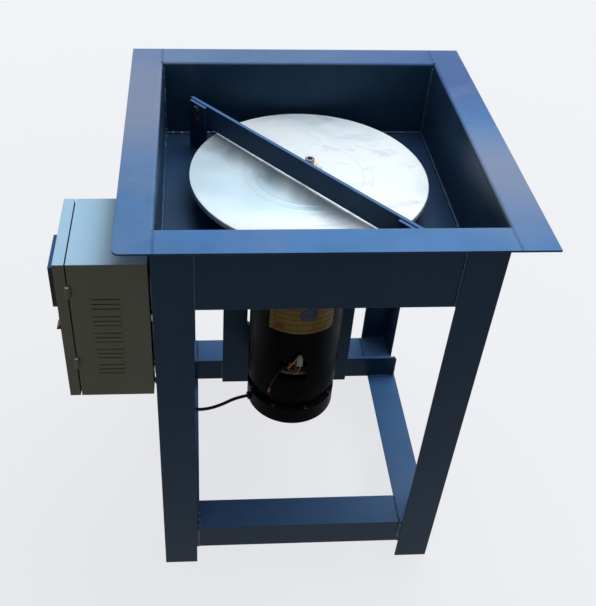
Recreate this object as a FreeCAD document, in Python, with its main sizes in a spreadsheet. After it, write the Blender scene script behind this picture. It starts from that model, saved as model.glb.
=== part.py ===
import FreeCAD, Part
import math
import os
import re
import Sketcher

from FreeCAD import Placement, Rotation, Vector

# Electric pottery wheel: a square steel table with a sunken splash tray, a flat turning wheel
# head driven straight by an upright motor, a fence bar across the wheel, and a control box.
#
# The origin is on the floor, under the middle of the whole object. +X is to the right, +Y is
# away from the person at the wheel and +Z is up. X is given from the wheel's axis in this file,
# and every finished piece is then moved by "wheel_x". All sizes are in millimetres.

SIZES = {
    # Splash tray and its rim
    "overall_height": (800, "floor to the top of the rim"),
    "rim_length": (600, "outer length and width of the rim"),
    "rim_width": (55, "flat rim, from the tray wall to its outer edge"),
    "sheet_thick": (3, "sheet of the tray and its rim"),
    "bend_radius": (6, "outer radius where the rim turns down into the wall"),
    "rim_corner": (12, "rounding of the rim's front left corner"),
    "tray_depth": (144, "top of the rim to the tray floor"),
    "collar_radius": (30, "outside of the collar that keeps water from the shaft"),
    "collar_wall": (6, "wall of the collar"),
    "collar_rise": (24, "collar's height above the tray floor"),
    # Legs, rails and what carries the motor
    "leg_width": (60, "equal angle of the legs"),
    "leg_thick": (5, "thickness of the leg angle"),
    "toe_radius": (3, "rounded toe of an angle bar"),
    "root_radius": (6, "rounded inside corner of an angle bar"),
    "rail_width": (60, "equal angle of the lower rails"),
    "rail_thick": (5, "thickness of the rail angle"),
    "rail_top": (105, "top of the lower rails above the floor"),
    "crossbar_width": (55, "equal angle of the bar behind the motor plate"),
    "plate_width": (270, "motor plate"),
    "plate_thick": (10, "motor plate"),
    "slot_width": (13, "slots of the motor plate"),
    "slot_spacing": (158, "distance between the two slots"),
    "slot_bottom": (275, "lower end of the slots above the floor"),
    "slot_top": (560, "upper end of the slots above the floor"),
    # Wheel head and its clamp
    "wheel_y": (28, "wheel's axis behind the middle of the tray"),
    "wheel_radius": (200, "wheel head"),
    "wheel_thick": (10, "wheel head"),
    "wheel_drop": (93, "top of the rim to the top of the wheel head"),
    "wheel_chamfer": (1, "edge of the wheel head"),
    "shaft_radius": (12.5, "motor shaft"),
    "shaft_bottom": (207, "lower end of the shaft"),
    "shaft_drop": (2, "top of the wheel head to the end of the shaft"),
    "hub_flange_radius": (55, "hub under the wheel head"),
    "hub_flange_thick": (10, "hub under the wheel head"),
    "hub_boss_radius": (20, "hub's boss around the shaft"),
    "hub_boss_length": (52, "hub's boss below its flange"),
    "skirt_radius": (40, "outside of the hub's splash skirt"),
    "skirt_wall": (4, "splash skirt"),
    "skirt_length": (22, "splash skirt below the flange"),
    "boss_radius": (22, "clamp boss on the wheel head"),
    "boss_depth": (1, "seat of the clamp boss in the wheel head"),
    "stack_step": (10, "thickness of the clamp boss, of the clamp nut and of the screw head"),
    "clamp_nut_radius": (13, "clamp nut, across its corners"),
    "clamp_screw_radius": (5, "thread of the clamp screw"),
    "clamp_head_radius": (8, "socket head of the clamp screw"),
    "clamp_socket": (4.6, "hexagon socket, to its corners"),
    "clamp_depth": (35, "clamp screw in the shaft"),
    # Fence bar across the wheel
    "bar_angle": (-49.7, "direction of the bar, turned from +X"),
    "bar_offset": (35, "wheel's axis to the near face of the bar"),
    "bar_half": (262, "half length of the bar"),
    "bar_height": (41, "fence bar"),
    "bar_thick": (6, "fence bar and its posts"),
    "bar_gap": (5, "wheel head to the underside of the bar"),
    "post_width": (40, "posts of the bar"),
    "post_end": (4, "end of the bar to the post"),
    "post_drop": (2, "top of the bar to the top of the post"),
    "bar_bolt_radius": (4, "bolts of the fence bar"),
    "bar_bolt_head": (7, "bolt heads and nuts of the fence bar, to their corners"),
    "bar_bolt_step": (18, "upper bolt to lower bolt"),
    # Motor
    "motor_gap": (2, "motor body to the motor plate"),
    "motor_radius": (88, "motor body"),
    "motor_wall": (10, "motor body"),
    "neck_step": (10, "motor body to its narrow neck, on the radius"),
    "neck_wall": (10, "narrow neck"),
    "cap_step": (1, "motor body to its bottom cap, on the radius"),
    "cap_wall": (8, "bottom cap"),
    "motor_bottom": (168, "underside of the bottom cap above the floor"),
    "cap_top": (203, "top of the bottom cap"),
    "flange_thick": (6, "flanges of the two end bells"),
    "lower_neck_top": (234, "where the lower bell widens"),
    "brush_bell_top": (365, "top of the lower bell"),
    "yoke_top": (520, "top of the motor's steel tube"),
    "motor_top": (560, "top of the upper bell"),
    "bell_slope": (8, "sloped shoulders of the bells"),
    "web_thick": (8, "web that holds a bearing"),
    "window_turn": (-97, "direction of the first brush window"),
    "window_width": (52, "brush windows"),
    "window_bottom": (294, "brush windows above the floor"),
    "window_height": (50, "brush windows"),
    "bearing_radius": (26, "outside of the ball bearings"),
    "bearing_width": (15, "ball bearings"),
    "bearing_race": (4.4, "thickness of a bearing ring"),
    "bearing_seat_wall": (6, "metal around a bearing"),
    "flange_bolt_radius": (2.5, "bolts of the bells"),
    "flange_bolt_head": (4.4, "heads of those bolts, to their corners"),
    "flange_bolt_length": (16, "bolts of the bells under the head"),
    "foot_width": (200, "motor foot"),
    "foot_thick": (10, "motor foot"),
    "foot_bottom": (378, "motor foot above the floor"),
    "foot_height": (130, "motor foot"),
    "foot_rib_inner": (50, "inner side of the foot's ribs from the axis"),
    "foot_rib_thick": (14, "ribs of the foot"),
    "foot_bolt_radius": (6, "bolts of the motor foot"),
    "foot_bolt_head": (10.5, "heads and nuts of those bolts, to their corners"),
    "foot_bolt_edge": (22, "foot's edge to its bolts"),
    "magnet_thick": (12, "field magnets"),
    "magnet_length": (125, "field magnets"),
    "magnet_angle": (60, "arc of one field magnet"),
    "air_gap": (2, "armature to the magnets"),
    "core_length": (115, "armature core"),
    "winding_radius": (56, "end turns of the armature"),
    "winding_length": (18, "end turns of the armature"),
    "commutator_radius": (28, "commutator"),
    "commutator_length": (50, "commutator"),
    "brush_width": (10, "brushes"),
    "brush_height": (16, "brushes"),
    "brush_length": (26, "brushes"),
    "holder_wall": (2.5, "brush holders"),
    "holder_ring": (6, "ring that carries the brush holders"),
    "label_turn": (-131, "left edge of the blank label"),
    "label_arc": (82, "arc of the blank label"),
    "label_bottom": (419, "blank label above the floor"),
    "label_height": (92, "blank label"),
    "label_thick": (0.4, "blank label"),
    "label_hole": (16, "round hole of the label"),
    "label_hole_turn": (47.6, "left edge of the label to its round hole, in degrees"),
    # Control box on the left legs
    "box_gap": (4, "leg to the control box"),
    "box_depth": (112, "box without its door"),
    "box_width": (158, "box, along Y"),
    "box_height": (263, "control box"),
    "box_drop": (56, "top of the rim to the top of the box"),
    "box_sheet": (2, "sheet of the box and its door"),
    "box_flange": (12, "turned-in edge around the mouth of the box"),
    "door_gap": (2, "box to its door"),
    "door_depth": (16, "door"),
    "gasket_width": (8, "door seal"),
    "gasket_inset": (12, "door's edge to its seal"),
    "louvre_length": (40, "louvres"),
    "louvre_pitch": (9, "louvre to louvre"),
    "louvre_group": (33, "group of louvres to the next group"),
    "louvre_top": (60, "top of the box to the first louvre"),
    "louvre_back": (42, "back of the box to the louvres"),
    "louvre_radius": (4, "rounded hood of a louvre"),
    "louvre_out": (2, "how far a hood stands out"),
    "knuckle_radius": (4, "hinge knuckles"),
    "knuckle_length": (9, "one hinge knuckle"),
    "hinge_out": (3, "hinge axis in front of the box"),
    "hinge_pin_radius": (1.8, "hinge pins"),
    "hinge_pin_head": (2.9, "heads of the hinge pins"),
    "hinge_upper": (47, "top of the box to the upper hinge"),
    "hinge_lower": (188, "top of the box to the lower hinge"),
    "panel_width": (78, "speed panel, along Y"),
    "panel_height": (75, "speed panel"),
    "panel_depth": (15.5, "speed panel in front of the door"),
    "panel_wall": (3, "speed panel"),
    "panel_top": (39, "top of the box to the top of the panel"),
    "panel_back": (38, "rear edge of the door to the panel"),
    "window_length": (50, "display window"),
    "window_rise": (22, "display window"),
    "window_thick": (1.5, "display window"),
    "key_radius": (5, "keys of the speed panel"),
    "key_out": (1, "keys in front of the panel"),
    "key_length": (7, "keys"),
    "key_step": (20, "key to key"),
    "key_rise": (18, "lower edge of the panel to the keys"),
    "rocker_drop": (151, "top of the box to the pivot of the mains switch"),
    "rocker_back": (105, "rear edge of the door to the middle of the mains switch"),
    "rocker_width": (20, "rocker of the mains switch"),
    "rocker_half": (14, "half height of the rocker"),
    "rocker_taper": (5, "how much narrower the rocker is behind its pivot, each side"),
    "rocker_root": (6, "rocker behind its pivot"),
    "rocker_dish": (0.7, "middle of the rocker's face, as a share of its ends' height"),
    "pivot_depth": (3, "door's face to the pivot of the mains switch"),
    "rocker_out": (13, "rocker's ends in front of its pivot"),
    "rocker_tilt": (12, "rocker's tilt either way, in degrees"),
    "bezel_edge": (3.6, "frame of the mains switch around its opening"),
    "bezel_thick": (2.5, "frame of the mains switch"),
    "switch_depth": (25, "mains switch behind the door's face"),
    "lock_drop": (132, "top of the box to the door lock"),
    "lock_back": (29, "rear edge of the door to the door lock"),
    "lock_radius": (8, "barrel of the door lock"),
    "lock_slot": (1.6, "key slot of the door lock"),
    "cam_length": (26, "tongue of the door lock"),
    "cam_width": (12, "tongue of the door lock"),
    "cam_thick": (2.5, "tongue of the door lock"),
    "box_bolt_radius": (4, "bolts that hold the box"),
    "box_bolt_head": (7, "their heads and nuts, to the corners"),
    "box_bolt_upper": (124, "top of the box to the upper bolt"),
    "box_bolt_lower": (234, "top of the box to the lower bolt"),
    "board_gap": (8, "circuit board to its plate"),
    "board_drop": (110, "top of the box to the lower edge of the circuit board"),
    "board_height": (88, "circuit board"),
    "sink_width": (52, "heat sink, along Y"),
    "sink_height": (52, "heat sink"),
    "sink_base": (6, "base of the heat sink"),
    "sink_fin": (18, "fins of the heat sink"),
    "terminal_length": (78, "terminal block, along Y"),
    "terminal_depth": (18, "terminal block"),
    "terminal_rise": (44, "underside of the box to the terminal block"),
    "terminal_well": (2.8, "screw wells of the terminal block"),
    "gland_radius": (9, "cable glands"),
    "gland_length": (18, "cable glands below the box"),
    "gland_thread": (6.3, "thread of a cable gland through the box"),
    "gland_bore": (3.6, "bore of the spare gland, for a mains lead"),
    "gland_back": (25, "rear edge of the box to the glands"),
    "gland_side": (23, "back of the box to the motor cable's gland"),
    "gland_step": (45, "gland to gland"),
    "cable_radius": (3.25, "motor cable"),
    "grommet_turn": (-166, "direction of the motor cable's grommet"),
    "grommet_height": (184, "grommet above the floor"),
    "grommet_radius": (8, "lip of the grommet"),
    "grommet_lip": (3.7, "lip of the grommet"),
    # Fasteners and clearances
    "head_rise": (1.3, "height of a bolt head, per radius of its thread"),
    "nut_rise": (1.6, "height of a nut, per radius of its thread"),
    "fit": (0.05, "running fit, on the radius"),
    "loose": (0.3, "gap between pieces that pass each other"),
}

PLACES = {
    "half_open": "rim_length / 2 - rim_width",
    "wall_out": "half_open + sheet_thick",
    "leg_out": "wall_out + leg_thick",
    "floor_top": "overall_height - tray_depth",
    "floor_under": "floor_top - sheet_thick",
    "leg_top": "overall_height - bend_radius",
    "wheel_top": "overall_height - wheel_drop",
    "wheel_under": "wheel_top - wheel_thick",
    "hub_under": "wheel_under - hub_flange_thick",
    "shaft_top": "wheel_top - shaft_drop",
    "boss_seat": "wheel_top - boss_depth",
    "bar_bottom": "wheel_top + bar_gap",
    "bar_top": "bar_bottom + bar_height",
    "post_top": "bar_top - post_drop",
    "post_from": "bar_half - post_end - post_width",
    "bar_bolt_low": "bar_bottom + bar_height / 2 - bar_bolt_step / 2",
    "shaft_height": "motor_radius + motor_gap",
    "neck_radius": "motor_radius - neck_step",
    "cap_radius": "motor_radius - cap_step",
    "plate_front": "wheel_y + shaft_height",
    "plate_back": "plate_front + plate_thick",
    "foot_front": "plate_front - foot_thick",
    "foot_bolt_low": "foot_bottom + foot_bolt_edge",
    "foot_bolt_high": "foot_bottom + foot_height - foot_bolt_edge",
    "motor_bore": "motor_radius - motor_wall",
    "neck_bore": "neck_radius - neck_wall",
    "cap_bore": "cap_radius - cap_wall",
    "bolt_circle": "(neck_radius + cap_radius) / 2",
    "lower_bell_flange": "cap_top + flange_thick",
    "upper_bell_flange": "yoke_top + flange_thick",
    "lower_web": "lower_neck_top - web_thick / 2",
    "upper_web": "motor_top - web_thick",
    "lower_bearing": "lower_web - bearing_width",
    "upper_bearing": "upper_web - bearing_width",
    "seat_out": "bearing_radius + bearing_seat_wall",
    "core_bottom": "(brush_bell_top + yoke_top - core_length) / 2",
    "magnet_bottom": "(brush_bell_top + yoke_top - magnet_length) / 2",
    "magnet_bore": "motor_bore - magnet_thick",
    "core_radius": "magnet_bore - air_gap",
    "brush_level": "window_bottom + window_height / 2",
    "box_back": "-(leg_out + box_gap)",
    "box_mouth": "box_back - box_depth",
    "door_inside": "box_mouth - door_gap",
    "door_face": "door_inside - door_depth",
    "panel_face": "door_face - panel_depth",
    "reach": "-panel_face + key_out",
    "wheel_x": "(reach - rim_length / 2) / 2",
    "box_front": "-leg_out",
    "box_rear": "box_front + box_width",
    "box_top": "overall_height - box_drop",
    "box_bottom": "box_top - box_height",
    "hinge_x": "box_mouth - door_gap / 2",
    "hinge_y": "box_front - hinge_out",
    "panel_rear": "box_rear - panel_back",
    "panel_low": "box_top - panel_top - panel_height",
    "rocker_x": "door_face + pivot_depth",
    "rocker_y": "box_rear - rocker_back",
    "rocker_z": "box_top - rocker_drop",
    "lock_y": "box_rear - lock_back",
    "lock_z": "box_top - lock_drop",
    "box_bolt_y": "box_front + leg_width / 2",
    "gland_x": "box_back - gland_side",
    "gland_y": "box_rear - gland_back",
    "board_x": "box_back - box_sheet * 2 - board_gap",
}

# The motor cable from its grommet to its gland, with X from the wheel's axis.
CABLE_ROUTE = [
    (-88.3, 6.0, 184), (-113, -0.2, 184), (-139, -10, 177), (-168, -26, 182), (-195, -44, 201),
    (-219, -62, 234), (-240, -80, 276), (-257, -96, 326), (-272, -111, 378), (-280, -120, 426),
    (-280, -120, 463),
]
DIRECTIONS = {
    "x": Rotation(Vector(0, 1, 0), 90),
    "y": Rotation(Vector(1, 0, 0), -90),
    "z": Rotation(),
}
AXIS_Y = Vector(0, 1, 0)
AXIS_Z = Vector(0, 0, 1)
NODES = {}
PLACED = {}

doc = FreeCAD.newDocument("pottery_wheel")


# ---------------------------------------------------------------- sheets and formulas

def named(formula):
    """Put the sheet's name before every size and place in a formula."""
    def full(match):
        word = match.group(0)
        if word in SIZES:
            return "Sizes." + word
        return "Places." + word if word in PLACES else word
    return re.sub(r"[a-z_]+", full, str(formula))


def make_sheets():
    sizes = doc.addObject("Spreadsheet::Sheet", "Sizes")
    for row, (alias, (number, meaning)) in enumerate(SIZES.items(), 1):
        sizes.set(f"A{row}", meaning)
        sizes.set(f"B{row}", str(number))
        sizes.setAlias(f"B{row}", alias)
    places = doc.addObject("Spreadsheet::Sheet", "Places")
    for row, (alias, formula) in enumerate(PLACES.items(), 1):
        places.set(f"A{row}", alias.replace("_", " "))
        places.setAlias(f"B{row}", alias)
    doc.recompute()
    for row, formula in enumerate(PLACES.values(), 1):
        places.set(f"B{row}", "=" + named(formula))
    doc.recompute()
    return sizes, places


def number(alias):
    """The present value of a size or a place."""
    return float(getattr(SHEETS[0] if alias in SIZES else SHEETS[1], alias))


def bind(item, **formulas):
    for path, formula in formulas.items():
        item.setExpression(path, named(formula))
    return item


def place(item, at=("0", "0", "0"), rotation=None):
    """Move an item to three formulas, turned by a fixed rotation."""
    item.Placement = Placement(Vector(), rotation or Rotation())
    for axis, formula in zip("xyz", at):
        item.setExpression("Placement.Base." + axis, named(formula))
    PLACED[item.Name] = at
    return item


def turned_by(item, angle):
    """Turn an item about its upright axis by a formula in degrees."""
    item.Placement = Placement(item.Placement.Base, Rotation(AXIS_Z, 1))
    item.setExpression("Placement.Rotation.Angle", f"({named(angle)}) * 1 deg")
    return item


def node(name, item, at=("0", "0", "0"), rotation=None, angle=None):
    """Finish a piece: name it and move it by the wheel's own place."""
    across, along, up = PLACED.get(item.Name, at)
    place(item, (f"wheel_x + ({across})", along, up), rotation)
    if angle is not None:
        turned_by(item, angle)
    item.Label = name
    NODES[name] = item
    return item


# ---------------------------------------------------------------- simple solids

def block(size, at):
    item = doc.addObject("Part::Box", "block")
    bind(item, Length=size[0], Width=size[1], Height=size[2])
    return place(item, at)


def rod(radius, length, at, direction="z"):
    item = doc.addObject("Part::Cylinder", "rod")
    bind(item, Radius=radius, Height=length)
    return place(item, at, DIRECTIONS[direction])


def hexagon(radius, length, at, direction="z"):
    item = doc.addObject("Part::Prism", "hexagon")
    item.Polygon = 6
    bind(item, Circumradius=radius, Height=length)
    return place(item, at, DIRECTIONS[direction])


def plus(*items):
    item = doc.addObject("Part::MultiFuse", "joined")
    item.Shapes = list(items)
    item.Refine = True
    return item


def group(*items):
    item = doc.addObject("Part::Compound", "group")
    item.Links = list(items)
    return item


def minus(base, *tools):
    item = doc.addObject("Part::Cut", "cut")
    item.Base = base
    item.Tool = tools[0] if len(tools) == 1 else plus(*tools)
    return item


def tube(outer, inner, length, at, direction="z"):
    return minus(rod(outer, length, at, direction), rod(inner, length, at, direction))


# ---------------------------------------------------------------- sketched solids

def body_plane(body, role):
    return next(feature for feature in body.Origin.OriginFeatures if feature.Role == role)


def outline(body, role, *loops):
    """A sketch of closed outlines, every corner held by two formulas."""
    sketch = body.newObject("Sketcher::SketchObject", "outline")
    sketch.AttachmentSupport = [(body_plane(body, role), "")]
    sketch.MapMode = "FlatFace"
    first = 0
    for corners in loops:
        count = len(corners)
        ring = Part.makeCircle(100).discretize(count + 1)
        for index in range(count):
            sketch.addGeometry(Part.LineSegment(ring[index], ring[index + 1]))
        for index, (across, up) in enumerate(corners):
            line = first + index
            following = first + (index + 1) % count
            sketch.addConstraint(Sketcher.Constraint("Coincident", line, 2, following, 1))
            for kind, start, formula in (
                ("DistanceX", ring[index].x, across), ("DistanceY", ring[index].y, up),
            ):
                held = sketch.addConstraint(Sketcher.Constraint(kind, -1, 1, line, 1, start))
                sketch.setExpression(f"Constraints[{held}]", named(formula))
        first += count
    return sketch


def pad(body, role, length, *loops, reverse=False):
    feature = body.newObject("PartDesign::Pad", "pad")
    feature.Profile = outline(body, role, *loops)
    feature.Reversed = reverse
    return bind(feature, Length=length)


def turned(*corners):
    """A solid of revolution from (radius, height) corners, about the upright axis."""
    body = doc.addObject("PartDesign::Body", "turned")
    sketch = outline(body, "XZ_Plane", corners)
    feature = body.newObject("PartDesign::Revolution", "revolution")
    feature.Profile = sketch
    feature.ReferenceAxis = (sketch, ["V_Axis"])
    feature.Angle = 360
    return body


def on_wheel(name, body):
    """Finish a turned piece on the wheel's axis."""
    return node(name, body, ("0", "wheel_y", "0"))


def rounded(body, radius, *spots):
    """Round the edges whose middles lie nearest to the given spots."""
    doc.recompute()
    tip = body.Tip
    names = []
    for spot in spots:
        edges = tip.Shape.Edges
        near = min(edges, key=lambda edge: (edge.CenterOfMass - spot).Length)
        names.append(f"Edge{edges.index(near) + 1}")
    feature = body.newObject("PartDesign::Fillet", "rounding")
    feature.Base = (tip, names)
    return bind(feature, Radius=radius)


def circle_of(count, radius, start=0.0):
    """Formulas for places on a circle about the wheel's axis."""
    for index in range(count):
        angle = start + index * 360.0 / count
        yield f"{radius} * cos({angle} deg)", f"wheel_y + {radius} * sin({angle} deg)"


SHEETS = make_sheets()


# ---------------------------------------------------------------- splash tray

def tray_side(name, length, at, rotation, side_strip):
    """One wall of the tray with its rim; the two side strips also make the rim's corners."""
    body = doc.addObject("PartDesign::Body", "tray_side")
    pad(body, "XZ_Plane", length, [
        ("0", "-(tray_depth + sheet_thick)"), ("0", "0"), ("rim_width", "0"),
        ("rim_width", "-sheet_thick"), ("sheet_thick", "-sheet_thick"),
        ("sheet_thick", "-(tray_depth + sheet_thick)"),
    ], reverse=True)
    middle = number("half_open") + (number("sheet_thick") if side_strip else 0)
    sheet = number("sheet_thick")
    rounded(body, "bend_radius", Vector(0, middle, 0))
    rounded(body, "bend_radius - sheet_thick", Vector(sheet, middle, -sheet))
    if side_strip:
        corner = "(rim_width - sheet_thick)"
        pad(body, "XY_Plane", "sheet_thick",
            [("0", "0"), ("0", f"-{corner}"), ("rim_width", f"-{corner}"), ("rim_width", "0")],
            [("0", length), ("0", f"{length} + {corner}"),
             ("rim_width", f"{length} + {corner}"), ("rim_width", length)],
            reverse=True)
    if name == "tray_side_left":
        far = 2 * number("wall_out") + number("rim_width") - sheet
        rounded(body, "rim_corner", Vector(number("rim_width"), far, -sheet / 2))
    node(name, body, at, rotation)


def make_tray():
    side = "2 * wall_out"
    end = "2 * half_open"
    tray_side("tray_side_right", side, ("half_open", "-wall_out", "overall_height"),
              Rotation(), True)
    tray_side("tray_side_left", side, ("-half_open", "wall_out", "overall_height"),
              Rotation(AXIS_Z, 180), True)
    tray_side("tray_side_back", end, ("half_open", "half_open", "overall_height"),
              Rotation(AXIS_Z, 90), False)
    tray_side("tray_side_front", end, ("-half_open", "-half_open", "overall_height"),
              Rotation(AXIS_Z, -90), False)
    floor = block(("2 * half_open", "2 * half_open", "sheet_thick"),
                  ("-half_open", "-half_open", "floor_under"))
    hole = rod("collar_radius + fit", "sheet_thick", ("0", "wheel_y", "floor_under"))
    node("tray_floor", minus(floor, hole))
    node("shaft_collar", tube("collar_radius", "collar_radius - collar_wall",
                              "collar_rise + 2 * sheet_thick",
                              ("0", "wheel_y", "floor_under - sheet_thick")))


# ---------------------------------------------------------------- legs, rails, motor plate

def make_legs():
    toe = "leg_width"
    wall = "leg_thick"
    corners = {
        "leg_front_left": ("-leg_out", "-leg_out", 0), "leg_front_right": ("leg_out", "-leg_out", 90),
        "leg_back_right": ("leg_out", "leg_out", 180), "leg_back_left": ("-leg_out", "leg_out", 270),
    }
    for name, (across, along, angle) in corners.items():
        body = doc.addObject("PartDesign::Body", "leg")
        pad(body, "XY_Plane", "leg_top",
            [("0", "0"), (toe, "0"), (toe, wall), (wall, wall), (wall, toe), ("0", toe)])
        middle = number("leg_top") / 2
        long_side, short_side = number(toe), number(wall)
        rounded(body, "toe_radius", Vector(long_side, short_side, middle),
                Vector(short_side, long_side, middle))
        rotation = Rotation(AXIS_Z, angle)
        if name == "leg_front_left":
            holes = [
                rod("box_bolt_radius + loose", wall, ("0", "leg_width / 2", f"box_top - {drop}"), "x")
                for drop in ("box_bolt_upper", "box_bolt_lower")
            ]
            body = minus(body, *holes)
        node(name, body, (across, along, "0"), rotation)


def angle_bar(length):
    """An angle bar along +Y, its outer corner at the top right of its section."""
    wide = "rail_width"
    wall = "rail_thick"
    body = doc.addObject("PartDesign::Body", "rail")
    pad(body, "XZ_Plane", length, [
        ("0", "0"), (f"-{wide}", "0"), (f"-{wide}", f"-{wall}"), (f"-{wall}", f"-{wall}"),
        (f"-{wall}", f"-{wide}"), ("0", f"-{wide}"),
    ], reverse=True)
    doc.recompute()
    middle = body.Shape.BoundBox.Center.y
    width, thick = number(wide), number(wall)
    rounded(body, "root_radius", Vector(-thick, middle, -thick))
    rounded(body, "toe_radius", Vector(-width, middle, -thick), Vector(-thick, middle, -width))
    return body


def make_rails():
    side = "2 * wall_out"
    end = "2 * (wall_out - rail_width)"
    node("rails_side", group(
        place(angle_bar(side), ("wall_out", "-wall_out", "rail_top")),
        place(angle_bar(side), ("-wall_out", "wall_out", "rail_top"), Rotation(AXIS_Z, 180)),
    ))
    node("rails_end", group(
        place(angle_bar(end), (f"({end}) / 2", "wall_out", "rail_top"), Rotation(AXIS_Z, 90)),
        place(angle_bar(end), (f"-({end}) / 2", "-wall_out", "rail_top"), Rotation(AXIS_Z, -90)),
    ))
    bar = doc.addObject("PartDesign::Body", "crossbar")
    wide = "crossbar_width"
    wall = "rail_thick"
    length = "2 * (wall_out - rail_thick)"
    pad(bar, "YZ_Plane", length,
        [("0", "0"), (wide, "0"), (wide, wall), (wall, wall), (wall, wide), ("0", wide)])
    thick = number(wall)
    rounded(bar, "root_radius", Vector(number("wall_out") - thick, thick, thick))
    node("motor_crossbar", bar, (f"-({length}) / 2", "plate_back", "rail_top"))


def slot_cut(across):
    """A round-ended slot through the motor plate."""
    radius = "slot_width / 2"
    return plus(
        block(("slot_width", "plate_thick", "slot_top - slot_bottom - slot_width"),
              (f"{across} - {radius}", "plate_front", f"slot_bottom + {radius}")),
        rod(radius, "plate_thick", (across, "plate_front", f"slot_bottom + {radius}"), "y"),
        rod(radius, "plate_thick", (across, "plate_front", f"slot_top - {radius}"), "y"),
    )


def make_motor_plate():
    plate = block(("plate_width", "plate_thick", "floor_under - rail_top"),
                  ("-plate_width / 2", "plate_front", "rail_top"))
    node("motor_plate", minus(plate, slot_cut("-slot_spacing / 2"), slot_cut("slot_spacing / 2")))


# ---------------------------------------------------------------- fence bar

def bar_bolt_spots():
    for across in ("-(post_from + post_width / 2)", "post_from + post_width / 2"):
        for height in ("bar_bolt_low", "bar_bolt_low + bar_bolt_step"):
            yield across, height


def make_fence():
    """The bar, its posts and bolts, made along X and turned together about the wheel's axis."""
    near = "-(bar_offset + bar_thick)"
    holes = [
        rod("bar_bolt_radius + fit", "2 * bar_thick", (across, near, height), "y")
        for across, height in bar_bolt_spots()
    ]
    bar = block(("2 * bar_half", "bar_thick", "bar_height"),
                ("-bar_half", "-bar_offset", "bar_bottom"))
    posts = [
        block(("post_width", "bar_thick", "post_top - floor_top"), (start, near, "floor_top"))
        for start in ("-(post_from + post_width)", "post_from")
    ]
    bolts = []
    for across, height in bar_bolt_spots():
        bolts.append(plus(
            hexagon("bar_bolt_head", "bar_bolt_radius * head_rise",
                    (across, f"{near} - bar_bolt_radius * head_rise", height), "y"),
            rod("bar_bolt_radius", "2 * bar_thick + bar_bolt_radius * 2", (across, near, height), "y"),
        ))
        bolts.append(minus(
            hexagon("bar_bolt_head", "bar_bolt_radius * nut_rise",
                    (across, "-bar_offset + bar_thick", height), "y"),
            rod("bar_bolt_radius + fit", "bar_bolt_radius * nut_rise",
                (across, "-bar_offset + bar_thick", height), "y"),
        ))
    on_axis = ("0", "wheel_y", "0")
    node("fence_bar", minus(bar, *holes), on_axis, angle="bar_angle")
    node("bar_posts", minus(group(*posts), *holes), on_axis, angle="bar_angle")
    node("bar_bolts", group(*bolts), on_axis, angle="bar_angle")


# ---------------------------------------------------------------- motor housing

def flange_bolts(count, level, start):
    """Hexagon bolts down through a bell's flange."""
    for across, along in circle_of(count, "bolt_circle", start):
        shank = rod("flange_bolt_radius", "flange_bolt_length",
                    (across, along, f"{level} - flange_bolt_length"))
        head = hexagon("flange_bolt_head", "flange_bolt_radius * head_rise", (across, along, level))
        yield plus(shank, head)


def flange_holes(count, level, start):
    for across, along in circle_of(count, "bolt_circle", start):
        yield rod("flange_bolt_radius + fit", "flange_bolt_length + loose",
                  (across, along, f"{level} - flange_bolt_length - loose"))


def grommet_piece(radius, start, length):
    """A rod straight out through the cap's wall, where the cable leaves."""
    item = doc.addObject("Part::Cylinder", "grommet_piece")
    bind(item, Radius=radius, Height=length)
    turn = number("grommet_turn")
    rotation = Rotation(AXIS_Z, turn) * DIRECTIONS["x"]
    return place(item, (f"({start}) * cos(grommet_turn * 1 deg)",
                        f"wheel_y + ({start}) * sin(grommet_turn * 1 deg)", "grommet_height"), rotation)


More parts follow.
